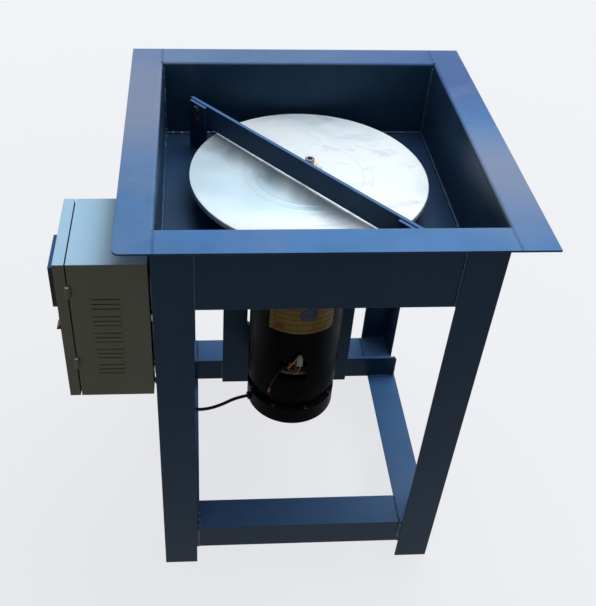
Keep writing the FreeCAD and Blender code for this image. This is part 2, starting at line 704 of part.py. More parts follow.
def make_housing():
    low_start = number("window_turn") + 22.5
    top_start = 45.0
    cap = place(turned(
        ("0", "motor_bottom"), ("cap_radius - bell_slope / 2", "motor_bottom"),
        ("cap_radius", "motor_bottom + bell_slope / 2"), ("cap_radius", "cap_top"),
        ("cap_bore", "cap_top"), ("cap_bore", "motor_bottom + cap_wall"),
        ("0", "motor_bottom + cap_wall"),
    ), ("0", "wheel_y", "0"))
    neck = "grommet_radius - sheet_thick"
    node("motor_end_cap", minus(
        cap, *flange_holes(8, "lower_bell_flange", low_start),
        grommet_piece(f"{neck} + fit", "cap_bore - loose", "cap_wall * 2"),
    ))
    node("motor_grommet", plus(
        grommet_piece(neck, "cap_bore", "cap_wall + sheet_thick"),
        grommet_piece("grommet_radius", "cap_radius + loose", "grommet_lip"),
    ))

    bell = place(turned(
        ("neck_bore", "cap_top"), ("cap_radius", "cap_top"), ("cap_radius", "lower_bell_flange"),
        ("neck_radius", "lower_bell_flange"), ("neck_radius", "lower_neck_top"),
        ("motor_radius", "lower_neck_top + bell_slope"), ("motor_radius", "brush_bell_top"),
        ("motor_bore", "brush_bell_top"), ("motor_bore", "lower_neck_top + 2 * bell_slope"),
        ("neck_bore", "lower_web + web_thick"),
        ("shaft_radius + bell_slope / 2", "lower_web + web_thick"),
        ("shaft_radius + bell_slope / 2", "lower_web"),
        ("bearing_radius + fit", "lower_web"), ("bearing_radius + fit", "lower_bearing"),
        ("seat_out", "lower_bearing"), ("seat_out", "lower_web"), ("neck_bore", "lower_web"),
    ), ("0", "wheel_y", "0"))
    windows = []
    for index in range(4):
        window = block(("motor_radius", "window_width", "window_height"),
                       ("motor_radius / 2", "-window_width / 2", "window_bottom"))
        holder = place(group(window), ("0", "wheel_y", "0"))
        windows.append(turned_by(holder, f"window_turn + {90 * index}"))
    node("motor_brush_bell",
         minus(bell, *windows, *flange_holes(8, "lower_bell_flange", low_start)))

    yoke = tube("motor_radius", "motor_bore", "yoke_top - brush_bell_top",
                ("0", "wheel_y", "brush_bell_top"))
    node("motor_yoke", minus(yoke, *flange_holes(4, "upper_bell_flange", top_start)))

    top = place(turned(
        ("neck_bore", "yoke_top"), ("motor_radius", "yoke_top"),
        ("motor_radius", "upper_bell_flange"), ("neck_radius", "upper_bell_flange"),
        ("neck_radius", "motor_top - bell_slope"), ("neck_radius - bell_slope", "motor_top"),
        ("shaft_radius + bell_slope / 4", "motor_top"), ("shaft_radius + bell_slope / 4", "upper_web"),
        ("bearing_radius + fit", "upper_web"), ("bearing_radius + fit", "upper_bearing"),
        ("seat_out", "upper_bearing"), ("seat_out", "upper_web"), ("neck_bore", "upper_web"),
    ), ("0", "wheel_y", "0"))
    node("motor_top_bell", minus(top, *flange_holes(4, "upper_bell_flange", top_start)))
    node("motor_bolts", group(*flange_bolts(8, "lower_bell_flange", low_start),
                              *flange_bolts(4, "upper_bell_flange", top_start)))


def make_feet():
    """The foot plate with two ribs that fit the round body, and its bolts through the slots."""
    foot = block(("foot_width", "foot_thick", "foot_height"),
                 ("-foot_width / 2", "foot_front", "foot_bottom"))
    ribs = [
        block(("foot_rib_thick", "shaft_height - foot_thick", "foot_height"),
              (start, "wheel_y", "foot_bottom"))
        for start in ("foot_rib_inner", "-(foot_rib_inner + foot_rib_thick)")
    ]
    round_body = rod("motor_radius + fit", "foot_height", ("0", "wheel_y", "foot_bottom"))
    holes = []
    bolts = []
    for across in ("-slot_spacing / 2", "slot_spacing / 2"):
        for height in ("foot_bolt_low", "foot_bolt_high"):
            holes.append(rod("foot_bolt_radius + fit", "foot_thick", (across, "foot_front", height), "y"))
            bolts.append(plus(
                hexagon("foot_bolt_head", "foot_bolt_radius * head_rise",
                        (across, "foot_front - foot_bolt_radius * head_rise", height), "y"),
                rod("foot_bolt_radius", "foot_thick * 2 + plate_thick + foot_bolt_radius",
                    (across, "foot_front", height), "y"),
            ))
            washer = rod("foot_bolt_head + foot_bolt_radius / 2", "sheet_thick",
                         (across, "plate_back", height), "y")
            nut = hexagon("foot_bolt_head", "foot_bolt_radius * nut_rise",
                          (across, "plate_back + sheet_thick", height), "y")
            thread = rod("foot_bolt_radius + fit", "foot_thick * 2", (across, "plate_back", height), "y")
            bolts += [minus(washer, thread), minus(nut, thread)]
    node("motor_feet", minus(plus(foot, *ribs), round_body, *holes))
    node("motor_mount_bolts", group(*bolts))


def make_label():
    """A thin blank label that wraps the front of the motor, with a round hole in it."""
    sheet = doc.addObject("Part::Cylinder", "label_sheet")
    bind(sheet, Radius="motor_radius + label_thick + fit", Height="label_height",
         Angle="label_arc * 1 deg")
    place(sheet, ("0", "0", "label_bottom"))
    core = rod("motor_radius + fit", "label_height", ("0", "0", "label_bottom"))
    hole = rod("label_hole", "2 * motor_radius", ("0", "0", "label_bottom + label_height / 2"), "x")
    turn = doc.addObject("Part::Compound", "label_hole")
    turn.Links = [hole]
    turned_by(place(turn), "label_hole_turn")
    node("motor_label", minus(sheet, core, turn), ("0", "wheel_y", "0"), angle="label_turn")


# ---------------------------------------------------------------- inside the motor

def make_magnets():
    magnets = []
    for index in range(4):
        outer = doc.addObject("Part::Cylinder", "magnet")
        bind(outer, Radius="motor_bore - fit", Height="magnet_length", Angle="magnet_angle * 1 deg")
        place(outer, ("0", "0", "magnet_bottom"))
        inner = rod("magnet_bore", "magnet_length", ("0", "0", "magnet_bottom"))
        magnet = place(minus(outer, inner), ("0", "wheel_y", "0"))
        magnets.append(turned_by(magnet, f"{90 * index} - magnet_angle / 2"))
    node("field_magnets", group(*magnets))


def make_brushes():
    """Four brushes in holders on one ring, behind the four windows."""
    level = "brush_level - brush_height / 2"
    start = "commutator_radius + loose"
    outer_width = "brush_width + 2 * holder_wall"
    outer_height = "brush_height + 2 * holder_wall"
    holder_start = "commutator_radius + holder_wall"
    holders = []
    brushes = []
    for index in range(4):
        case = block((f"motor_bore - holder_ring / 2 - ({holder_start})", outer_width, outer_height),
                     (holder_start, f"-({outer_width}) / 2", f"{level} - holder_wall"))
        hollow = block(("brush_length * 2", "brush_width + 2 * fit", "brush_height + 2 * fit"),
                       (start, "-brush_width / 2 - fit", f"{level} - fit"))
        turn = f"window_turn + {90 * index}"
        on_axis = ("0", "wheel_y", "0")
        holders.append(turned_by(place(minus(case, hollow), on_axis), turn))
        carbon = block(("brush_length", "brush_width", "brush_height"),
                       (start, "-brush_width / 2", level))
        brushes.append(turned_by(place(group(carbon), on_axis), turn))
    ring = tube("motor_bore - fit", "motor_bore - 2 * holder_ring", "holder_ring",
                ("0", "wheel_y", f"{level} - holder_wall - holder_ring"))
    node("brush_holders", plus(ring, *holders))
    node("brushes", group(*brushes))


def make_bearings():
    outer = []
    inner = []
    balls = []
    ball_radius = "(bearing_radius - shaft_radius) / 2 - bearing_race - fit * 2"
    for level in ("lower_bearing", "upper_bearing"):
        at = ("0", "wheel_y", level)
        outer.append(tube("bearing_radius", "bearing_radius - bearing_race", "bearing_width", at))
        inner.append(tube("shaft_radius + bearing_race", "shaft_radius + fit", "bearing_width", at))
        for across, along in circle_of(9, "((bearing_radius + shaft_radius) / 2)"):
            ball = doc.addObject("Part::Sphere", "ball")
            bind(ball, Radius=ball_radius)
            balls.append(place(ball, (across, along, f"{level} + bearing_width / 2")))
    node("bearing_outer_rings", group(*outer))
    node("bearing_inner_rings", group(*inner))
    node("bearing_balls", group(*balls))


def make_armature():
    bore = "shaft_radius + fit"
    socket_radius = "clamp_screw_radius + fit"
    socket_bottom = "shaft_top - clamp_depth - loose * 3"
    on_wheel("motor_shaft", turned(
        ("0", "shaft_bottom"), ("shaft_radius - wheel_chamfer", "shaft_bottom"),
        ("shaft_radius", "shaft_bottom + wheel_chamfer"), ("shaft_radius", "shaft_top"),
        (socket_radius, "shaft_top"), (socket_radius, socket_bottom), ("0", socket_bottom),
    ))
    core = turned(
        (bore, "core_bottom"), ("core_radius", "core_bottom"),
        ("core_radius", "core_bottom + core_length"), (bore, "core_bottom + core_length"),
    )
    on_wheel("armature_core", core)
    windings = []
    for low in ("core_bottom - winding_length", "core_bottom + core_length"):
        slope = "winding_length / 4"
        windings.append(place(turned(
            ("commutator_radius", low), (f"winding_radius - {slope}", low),
            ("winding_radius", f"{low} + {slope}"),
            ("winding_radius", f"{low} + winding_length - {slope}"),
            (f"winding_radius - {slope}", f"{low} + winding_length"),
            ("commutator_radius", f"{low} + winding_length"),
        ), ("0", "wheel_y", "0")))
    node("armature_winding", group(*windings))
    low = "brush_level - commutator_length / 2"
    on_wheel("commutator", turned(
        (bore, low), ("commutator_radius", low),
        ("commutator_radius", f"{low} + commutator_length"), (bore, f"{low} + commutator_length"),
    ))


# ---------------------------------------------------------------- wheel head and hub

def make_wheel():
    bore = "shaft_radius + fit"
    on_wheel("wheel_hub", turned(
        (bore, "hub_under - hub_boss_length"), ("hub_boss_radius", "hub_under - hub_boss_length"),
        ("hub_boss_radius", "hub_under"), ("skirt_radius - skirt_wall", "hub_under"),
        ("skirt_radius - skirt_wall", "hub_under - skirt_length"),
        ("skirt_radius", "hub_under - skirt_length"), ("skirt_radius", "hub_under"),
        ("hub_flange_radius", "hub_under"), ("hub_flange_radius", "wheel_under"),
        (bore, "wheel_under"),
    ))
    edge = "wheel_chamfer"
    on_wheel("wheel_head", turned(
        (bore, "wheel_under"), (f"wheel_radius - {edge}", "wheel_under"),
        ("wheel_radius", f"wheel_under + {edge}"), ("wheel_radius", f"wheel_top - {edge}"),
        (f"wheel_radius - {edge}", "wheel_top"), ("boss_radius + fit", "wheel_top"),
        ("boss_radius + fit", "boss_seat"), (bore, "boss_seat"),
    ))
    screw_bore = "clamp_screw_radius + loose"
    on_wheel("clamp_boss", turned(
        (screw_bore, "boss_seat"), ("boss_radius", "boss_seat"),
        ("boss_radius", f"wheel_top + stack_step - {edge}"),
        (f"boss_radius - {edge}", "wheel_top + stack_step"), (screw_bore, "wheel_top + stack_step"),
    ))
    nut_at = ("0", "wheel_y", "wheel_top + stack_step")
    node("clamp_nut", minus(hexagon("clamp_nut_radius", "stack_step", nut_at),
                            rod(screw_bore, "stack_step", nut_at)))
    head = "wheel_top + 2 * stack_step"
    screw = place(turned(
        ("0", "shaft_top - clamp_depth"), ("clamp_screw_radius", "shaft_top - clamp_depth"),
        ("clamp_screw_radius", head), ("clamp_head_radius", head),
        ("clamp_head_radius", f"{head} + stack_step - {edge}"),
        (f"clamp_head_radius - {edge}", f"{head} + stack_step"), ("0", f"{head} + stack_step"),
    ), ("0", "wheel_y", "0"))
    socket = hexagon("clamp_socket", "stack_step", ("0", "wheel_y", f"{head} + stack_step / 2"))
    node("clamp_screw", minus(screw, socket))


# ---------------------------------------------------------------- control box

def frame_ring(depth, width, height, inset, strip, at):
    """A rectangular ring of given strip width, thin along X."""
    outer = block((depth, f"{width} - 2 * ({inset})", f"{height} - 2 * ({inset})"),
                  (at[0], f"{at[1]} + {inset}", f"{at[2]} + {inset}"))
    gap = f"({inset}) + ({strip})"
    inner = block((depth, f"{width} - 2 * ({gap})", f"{height} - 2 * ({gap})"),
                  (at[0], f"{at[1]} + {gap}", f"{at[2]} + {gap}"))
    return minus(outer, inner)


def knuckles(drop, rise, radius, extra="0"):
    """One hinge knuckle, from the middle of the hinge up (rise 1) or down (rise 0)."""
    length = f"knuckle_length - loose / 2 + 2 * ({extra})"
    start = "loose / 2" if rise else "-knuckle_length"
    return rod(radius, length, ("hinge_x", "hinge_y", f"box_top - {drop} + {start} - ({extra})"))


def louvre_levels():
    for row in range(5):
        for step in range(3):
            yield f"box_top - louvre_top - {row} * louvre_group - {step} * louvre_pitch"


def make_box_shell():
    """The box's body: a back sheet, two sides, a cover, a base and the lip around its mouth."""
    deep = "box_depth - box_sheet"
    wide = "box_width - 2 * box_sheet"
    inside_y = "box_front + box_sheet"
    bolt_holes = [
        rod("box_bolt_radius + fit", "box_sheet",
            ("box_back - box_sheet", "box_bolt_y", f"box_top - {drop}"), "x")
        for drop in ("box_bolt_upper", "box_bolt_lower")
    ]
    node("box_back_sheet", minus(
        block(("box_sheet", "box_width", "box_height"), ("box_back - box_sheet", "box_front", "box_bottom")),
        *bolt_holes))
    node("box_side_lock", block((deep, "box_sheet", "box_height"),
                                ("box_mouth", "box_front + box_width - box_sheet", "box_bottom")))
    node("box_cover", block((deep, wide, "box_sheet"), ("box_mouth", inside_y, "box_top - box_sheet")))
    gland_holes = [
        rod("gland_thread + fit", "box_sheet", (across, "gland_y", "box_bottom"))
        for across in ("gland_x", "gland_x - gland_step")
    ]
    node("box_base", minus(
        block((deep, wide, "box_sheet"), ("box_mouth", inside_y, "box_bottom")), *gland_holes))
    node("box_lip", frame_ring("box_sheet", "box_width", "box_height", "box_sheet", "box_flange",
                               ("box_mouth", "box_front", "box_bottom")))

    hoods = []
    cuts = []
    start = "box_back - louvre_back - louvre_length"
    for level in louvre_levels():
        hoods.append(rod("louvre_radius", "louvre_length",
                         (start, "box_front + louvre_radius - louvre_out", level), "x"))
        cuts.append(block(("louvre_length", "louvre_radius * 2", "louvre_radius * 2"),
                          (start, inside_y, f"{level} - louvre_radius")))
        cuts.append(block(("louvre_length - 2 * loose", "box_sheet + 2 * louvre_radius",
                           "louvre_radius - loose"),
                          (f"{start} + loose", "box_front - louvre_radius",
                           f"{level} - louvre_radius - louvre_out / 2")))
    for drop in ("hinge_upper", "hinge_lower"):
        cuts.append(knuckles(drop, 1, "knuckle_radius + loose", "loose"))
        cuts.append(knuckles(drop, 0, "hinge_pin_radius + fit", "loose"))
    held = [knuckles(drop, 0, "knuckle_radius") for drop in ("hinge_upper", "hinge_lower")]
    side = block((deep, "box_sheet", "box_height"), ("box_mouth", "box_front", "box_bottom"))
    node("box_side_hinge", minus(plus(side, *hoods, *held), *cuts))


def make_box_mounting():
    spots = [("box_bolt_y", f"box_top - {drop}") for drop in ("box_bolt_upper", "box_bolt_lower")]
    parts = []
    for along, height in spots:
        shank = "box_sheet + box_gap + leg_thick + 2 * box_bolt_radius"
        parts.append(plus(
            hexagon("box_bolt_head", "box_bolt_radius * head_rise",
                    ("box_back - box_sheet - box_bolt_radius * head_rise", along, height), "x"),
            rod("box_bolt_radius", shank, ("box_back - box_sheet", along, height), "x"),
        ))
        parts.append(tube("box_bolt_head + box_gap / 2", "box_bolt_radius + fit", "box_gap",
                          ("box_back", along, height), "x"))
        nut_at = ("-wall_out", along, height)
        parts.append(minus(hexagon("box_bolt_head", "box_bolt_radius * nut_rise", nut_at, "x"),
                           rod("box_bolt_radius + fit", "box_bolt_radius * nut_rise", nut_at, "x")))
    node("box_mount_bolts", group(*parts))

    glands = []
    for across, is_spare in (("gland_x", False), ("gland_x - gland_step", True)):
        low = "box_bottom - gland_length"
        body = plus(
            rod("gland_radius", "gland_length - box_sheet * 2", (across, "gland_y", low)),
            hexagon("gland_radius + box_sheet", "box_sheet * 2",
                    (across, "gland_y", "box_bottom - box_sheet * 2")),
            rod("gland_thread", "box_sheet", (across, "gland_y", "box_bottom")),
            hexagon("gland_radius + box_sheet", "box_sheet * 2",
                    (across, "gland_y", "box_bottom + box_sheet")),
        )
        if is_spare:
            body = minus(body, rod("gland_bore", "gland_length * 2", (across, "gland_y", low)))
        glands.append(body)
    node("cable_glands", group(*glands))


def make_electronics():
    """A mounting plate with studs, and on it the board, its heat sink and a terminal block."""
    inset = "box_flange"
    width = f"box_width - 2 * ({inset})"
    front = f"box_front + {inset}"
    low = f"box_bottom + {inset} + box_sheet"
    plate_x = "box_back - 2 * box_sheet"
    plate = block(("box_sheet", width, f"box_height - 2 * {inset} - 2 * box_sheet"),
                  (plate_x, front, low))
    holes = [
        rod("box_bolt_head + box_gap", "box_sheet", (plate_x, "box_bolt_y", f"box_top - {drop}"), "x")
        for drop in ("box_bolt_upper", "box_bolt_lower")
    ]
    board_low = "box_top - board_drop"
    studs = [
        rod("box_bolt_radius", "board_gap", ("board_x", along, height), "x")
        for along in (f"{front} + box_flange", f"{front} + {width} - box_flange")
        for height in (f"{board_low} + box_flange", f"{board_low} + board_height - box_flange")
    ]
    node("control_plate", plus(minus(plate, *holes), *studs))
    node("control_board", block(("box_sheet", f"{width} - 2 * box_sheet", "board_height"),
                                ("board_x - box_sheet", f"{front} + box_sheet", board_low)))
    sink_low = f"{board_low} + box_flange"
    base = block(("sink_base", "sink_width", "sink_height"),
                 ("board_x - box_sheet - sink_base", f"{front} + box_flange", sink_low))
    fins = [
        block(("sink_fin", "box_sheet", "sink_height"),
              ("board_x - box_sheet - sink_base - sink_fin",
               f"{front} + box_flange + {index} * (sink_width - box_sheet) / 6", sink_low))
        for index in range(7)
    ]
    node("heat_sink", plus(base, *fins))
    block_low = "box_bottom + terminal_rise"
    block_x = f"{plate_x} - terminal_depth"
    block_y = "box_rear - box_flange * 2 - terminal_length"
    body = block(("terminal_depth", "terminal_length", "terminal_depth"), (block_x, block_y, block_low))
    wells = [
        rod("terminal_well", "terminal_depth * 2 / 3",
            (block_x, f"{block_y} + ({index} + 0.5) * terminal_length / 6",
             f"{block_low} + terminal_depth / 2"), "x")
        for index in range(6)
    ]
    node("terminal_block", minus(body, *wells))


# ---------------------------------------------------------------- door and its controls

def switch_opening(depth, at):
    """The opening that the rocker tilts in."""
    return block((depth, "rocker_width + 2 * loose", "2 * rocker_half + 2 * loose"),
                 (at, "rocker_y - rocker_width / 2 - loose", "rocker_z - rocker_half - loose"))


def switch_block(depth, at, edge):
    return block((depth, f"rocker_width + 2 * loose + 2 * ({edge})",
                  f"2 * rocker_half + 2 * loose + 2 * ({edge})"),
                 (at, f"rocker_y - rocker_width / 2 - loose - ({edge})",
                  f"rocker_z - rocker_half - loose - ({edge})"))


def make_door():
    outer = block(("door_depth", "box_width", "box_height"), ("door_face", "box_front", "box_bottom"))
    inner = block(("door_depth - box_sheet", "box_width - 2 * box_sheet", "box_height - 2 * box_sheet"),
                  ("door_face + box_sheet", "box_front + box_sheet", "box_bottom + box_sheet"))
    switch_hole = switch_block("box_sheet", "door_face", "box_sheet - fit")
    lock_hole = rod("lock_radius + fit", "box_sheet", ("door_face", "lock_y", "lock_z"), "x")
    wire_hole = rod("box_flange", "box_sheet",
                    ("door_face", "panel_rear - panel_width / 2", "panel_low + panel_height / 2"), "x")
    cuts = [switch_hole, lock_hole, wire_hole]
    for drop in ("hinge_upper", "hinge_lower"):
        cuts.append(knuckles(drop, 0, "knuckle_radius + loose", "loose"))
        cuts.append(knuckles(drop, 1, "hinge_pin_radius + fit", "loose"))
    held = [knuckles(drop, 1, "knuckle_radius") for drop in ("hinge_upper", "hinge_lower")]
    node("box_door", minus(plus(minus(outer, inner), *held), *cuts))
    node("door_gasket", frame_ring("door_depth - box_sheet + door_gap - loose", "box_width", "box_height",
                                   "gasket_inset", "gasket_width",
                                   ("door_face + box_sheet", "box_front", "box_bottom")))
    pins = []
    for drop in ("hinge_upper", "hinge_lower"):
        low = f"box_top - {drop} - knuckle_length"
        top = f"box_top - {drop} + knuckle_length + loose"
        pins.append(plus(
            rod("hinge_pin_radius", "2 * knuckle_length + loose * 2", ("hinge_x", "hinge_y", low)),
            rod("hinge_pin_head", "hinge_pin_radius", ("hinge_x", "hinge_y", top)),
        ))
    node("hinge_pins", group(*pins))


def key_spots():
    for index, name in enumerate(("slower", "start", "faster")):
        yield name, f"panel_rear - panel_width / 2 + {1 - index} * key_step"


def make_panel():
    low = "panel_rear - panel_width"
    case = block(("panel_depth", "panel_width", "panel_height"), ("panel_face", low, "panel_low"))
    hollow = block(("panel_depth - panel_wall", "panel_width - 2 * panel_wall",
                    "panel_height - 2 * panel_wall"),
                   ("panel_face + panel_wall", f"{low} + panel_wall", "panel_low + panel_wall"))
    window_at = ("panel_face", f"{low} + (panel_width - window_length) / 2",
                 "panel_low + panel_height - window_rise * 1.5")
    recess = block(("window_thick", "window_length", "window_rise"), window_at)
    key_level = "panel_low + key_rise"
    holes = [rod("key_radius + fit * 2", "panel_wall", ("panel_face", along, key_level), "x")
             for _, along in key_spots()]
    node("panel_housing", minus(case, hollow, recess, *holes))
    lens = block(("window_thick - fit", "window_length - 2 * fit", "window_rise - 2 * fit"),
                 ("panel_face + fit", f"{window_at[1]} + fit", f"{window_at[2]} + fit"))
    node("panel_window", lens)
    for name, along in key_spots():
        cap = rod("key_radius", "key_length", ("panel_face - key_out", along, key_level), "x")
        lip = rod("key_radius + panel_wall / 2", "panel_wall / 2",
                  ("panel_face + panel_wall + fit", along, key_level), "x")
        node(f"key_{name}", plus(cap, lip))


def make_switch_and_lock():
    face = "door_face - bezel_thick"
    plate = switch_block("bezel_thick", face, "bezel_edge")
    tub = switch_block("switch_depth", "door_face", "box_sheet - 2 * fit")
    hollow = switch_opening("bezel_thick + switch_depth - box_sheet", face)
    pivot_bore = rod("box_sheet + fit", "rocker_width + 2 * box_sheet",
                     ("rocker_x", "rocker_y - rocker_width / 2 - box_sheet", "rocker_z"), "y")
    node("rocker_bezel", minus(plus(plate, tub), hollow, pivot_bore))

    rocker = doc.addObject("PartDesign::Body", "rocker")
    back = "rocker_root"
    inner = "(rocker_half - rocker_taper)"
    front = "-(rocker_out + pivot_depth)"
    pad(rocker, "XZ_Plane", "rocker_width", [
        (back, f"-{inner}"), (front, "-rocker_half"), (f"{front} * rocker_dish", "0"),
        (front, "rocker_half"), (back, inner),
    ], reverse=True)
    pivot = rod("box_sheet", "rocker_width + box_sheet", ("0", "-box_sheet / 2", "0"), "y")
    tilt = Rotation(AXIS_Y, 1)
    body = plus(rocker, pivot)
    node("rocker_switch", body, ("rocker_x", "rocker_y - rocker_width / 2", "rocker_z"), tilt)
    body.setExpression("Placement.Rotation.Angle", named("rocker_tilt * 1 deg"))

    lip = "box_sheet"
    tongue_x = "box_mouth + box_sheet + loose * 2"
    barrel = rod("lock_radius", "-door_face + box_mouth + box_sheet + loose * 2",
                 ("door_face", "lock_y", "lock_z"), "x")
    head = rod(f"lock_radius + {lip}", "box_sheet", (f"door_face - {lip}", "lock_y", "lock_z"), "x")
    key_slot = block(("box_sheet * 2", "lock_slot", "lock_radius"),
                     (f"door_face - {lip}", "lock_y - lock_slot / 2", "lock_z - lock_radius / 2"))
    tongue = block(("cam_thick", "cam_width", "cam_length"),
                   (tongue_x, "lock_y - cam_width / 2", "lock_z - cam_length"))
    eye = rod("lock_radius", "cam_thick", (tongue_x, "lock_y", "lock_z"), "x")
    node("lock_cam", minus(plus(barrel, head, tongue, eye), key_slot))


# ---------------------------------------------------------------- motor cable

def rounded_path(points):
    """Straight runs joined by the largest tangent arcs that the runs allow."""
    places = [Vector(*point) for point in points]
    edges = []
    start = places[0]
    for before, corner, after in zip(places, places[1:], places[2:]):
        one = (before - corner).normalize()
        two = (after - corner).normalize()
        half_turn = (Vector(0, 0, 0) - one).getAngle(two) / 2
        reach = 0.45 * min((corner - before).Length, (after - corner).Length)
        enter = corner + one * reach
        leave = corner + two * reach
        middle = (one + two).normalize()
        to_middle = reach * math.tan(half_turn / 2)
        edges.append(Part.LineSegment(start, enter).toShape())
        edges.append(Part.Arc(enter, corner + middle * to_middle, leave).toShape())
        print(f"cable bend radius {reach / math.tan(half_turn):.1f}")
        start = leave
    edges.append(Part.LineSegment(start, places[-1]).toShape())
    return Part.Wire(edges)


def make_cable():
    path = rounded_path(CABLE_ROUTE)
    radius = number("cable_radius")
    first = Vector(*CABLE_ROUTE[0])
    heading = Vector(*CABLE_ROUTE[1]) - first
    ring = Part.Wire([Part.Circle(first, heading, radius).toShape()])
    shape = path.makePipeShell([ring], True, False)
    print(f"cable length {path.Length:.1f}, volume ratio "
          f"{shape.Volume / (path.Length * math.pi * radius ** 2):.4f}")
    item = doc.addObject("Part::Feature", "motor_cable")
    item.Shape = shape
    node("motor_cable", item)


# ---------------------------------------------------------------- build and write

def check_and_write():
    doc.recompute()
    doc.recompute()
    for item in doc.Objects:
        if "Invalid" in item.State or "Error" in item.State:
            raise RuntimeError(f"{item.Label} failed: {item.State}")
    os.makedirs("parts", exist_ok=True)
    for name, item in NODES.items():
        if item.Shape.isNull() or not item.Shape.isValid() or not item.Shape.Solids:
            raise RuntimeError(f"{name} has no valid solid")
    for name, item in NODES.items():
        item.Shape.exportStep(os.path.join("parts", name + ".step"))
    print(len(NODES), "nodes")


make_tray()
make_legs()
make_rails()
make_motor_plate()
make_fence()
make_housing()
make_feet()
make_label()
make_magnets()
make_brushes()
make_bearings()
make_armature()
make_wheel()
make_box_shell()
make_box_mounting()
make_electronics()
make_door()
make_panel()
make_switch_and_lock()
make_cable()
check_and_write()
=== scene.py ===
import math
import random

import bmesh
import bpy
from mathutils import Matrix, Vector


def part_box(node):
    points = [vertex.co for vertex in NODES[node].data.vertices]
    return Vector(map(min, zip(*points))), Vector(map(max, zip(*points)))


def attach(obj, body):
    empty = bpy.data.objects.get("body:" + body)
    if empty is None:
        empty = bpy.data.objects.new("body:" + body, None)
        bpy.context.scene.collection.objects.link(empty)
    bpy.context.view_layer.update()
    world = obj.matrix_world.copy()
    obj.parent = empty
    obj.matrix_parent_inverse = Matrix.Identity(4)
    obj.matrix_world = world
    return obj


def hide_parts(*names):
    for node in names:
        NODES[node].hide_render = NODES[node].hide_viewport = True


# The looks of the pottery wheel. Everything is in metres, in the frame of the CAD model: +X is to
# the right, -Y is the front and the floor is at 0.

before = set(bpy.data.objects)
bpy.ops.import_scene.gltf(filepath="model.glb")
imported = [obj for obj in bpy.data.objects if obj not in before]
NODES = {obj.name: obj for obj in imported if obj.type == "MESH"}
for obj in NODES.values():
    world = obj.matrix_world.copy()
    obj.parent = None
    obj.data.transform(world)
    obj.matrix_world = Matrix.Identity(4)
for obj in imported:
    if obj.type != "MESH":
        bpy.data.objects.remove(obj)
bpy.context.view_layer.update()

RIM_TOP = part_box("tray_side_left")[1].z
FLOOR_LOW, FLOOR_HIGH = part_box("tray_floor")
FLOOR_TOP = FLOOR_HIGH.z
MIDDLE_X = (FLOOR_LOW.x + FLOOR_HIGH.x) / 2
HALF_OPEN = (FLOOR_HIGH.x - FLOOR_LOW.x) / 2
SHEET = 0.003
ANGLE_THICK, ANGLE_WIDE = 0.005, 0.060
WALL_OUT = HALF_OPEN + SHEET
WHEEL_LOW, WHEEL_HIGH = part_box("wheel_head")
AXIS = Vector(((WHEEL_LOW.x + WHEEL_HIGH.x) / 2, (WHEEL_LOW.y + WHEEL_HIGH.y) / 2, WHEEL_HIGH.z))
PALE = (0.888, 0.896, 0.93, 1)  # the photograph's background


# ---------------------------------------------------------------- camera and light

CAMERA_PLACE = (-0.13625, -1.1766, 1.5026)
CAMERA_TURNS = (4.733, 39.716, 2.448)  # yaw, pitch down and roll, in degrees
CAMERA_LENS, CAMERA_SENSOR = 51.24, 36
CAMERA_SHIFT = (0.0761, -0.0549)


def make_camera():
    """The photograph's viewpoint, solved from the rim, the legs and the rails."""
    yaw, pitch, roll = (math.radians(angle) for angle in CAMERA_TURNS)
    forward = Vector((math.sin(yaw) * math.cos(pitch), math.cos(yaw) * math.cos(pitch),
                      -math.sin(pitch)))
    level = Vector((math.cos(yaw), -math.sin(yaw), 0))
    upright = level.cross(forward)
    right = math.cos(roll) * level + math.sin(roll) * upright
    up = -math.sin(roll) * level + math.cos(roll) * upright
    data = bpy.data.cameras.new("camera")
    data.lens = CAMERA_LENS
    data.sensor_width = CAMERA_SENSOR
    data.shift_x, data.shift_y = CAMERA_SHIFT
    camera = bpy.data.objects.new("camera", data)
    bpy.context.scene.collection.objects.link(camera)
    turn = Matrix((right, up, -forward)).transposed().to_4x4()
    camera.matrix_world = Matrix.Translation(CAMERA_PLACE) @ turn
    bpy.context.scene.camera = camera


def area_light(name, at, towards, size, power, colour=(1, 1, 1)):
    """A rectangular lamp of a size in metres and a power in watts, aimed at a point."""
    data = bpy.data.lights.new(name, "AREA")
    data.shape = "RECTANGLE"
    data.size, data.size_y = size
    data.energy = power
    data.color = colour
    lamp = bpy.data.objects.new(name, data)
    bpy.context.scene.collection.objects.link(lamp)
    lamp.location = at
    lamp.rotation_euler = (Vector(towards) - Vector(at)).to_track_quat("-Z", "Y").to_euler()


def make_lights():
    """A large cool lamp above the back right, and a weak one in front on the left."""
    area_light("overhead", at=(0.75, 0.75, 3.1), towards=(0.0, 0.05, 0.6), size=(2.6, 2.4),
               power=78, colour=(0.86, 0.94, 1.0))
    area_light("front_fill", at=(-1.6, -3.0, 2.4), towards=(0, 0, 0.4), size=(2.0, 2.0), power=8)


# ---------------------------------------------------------------- material nodes

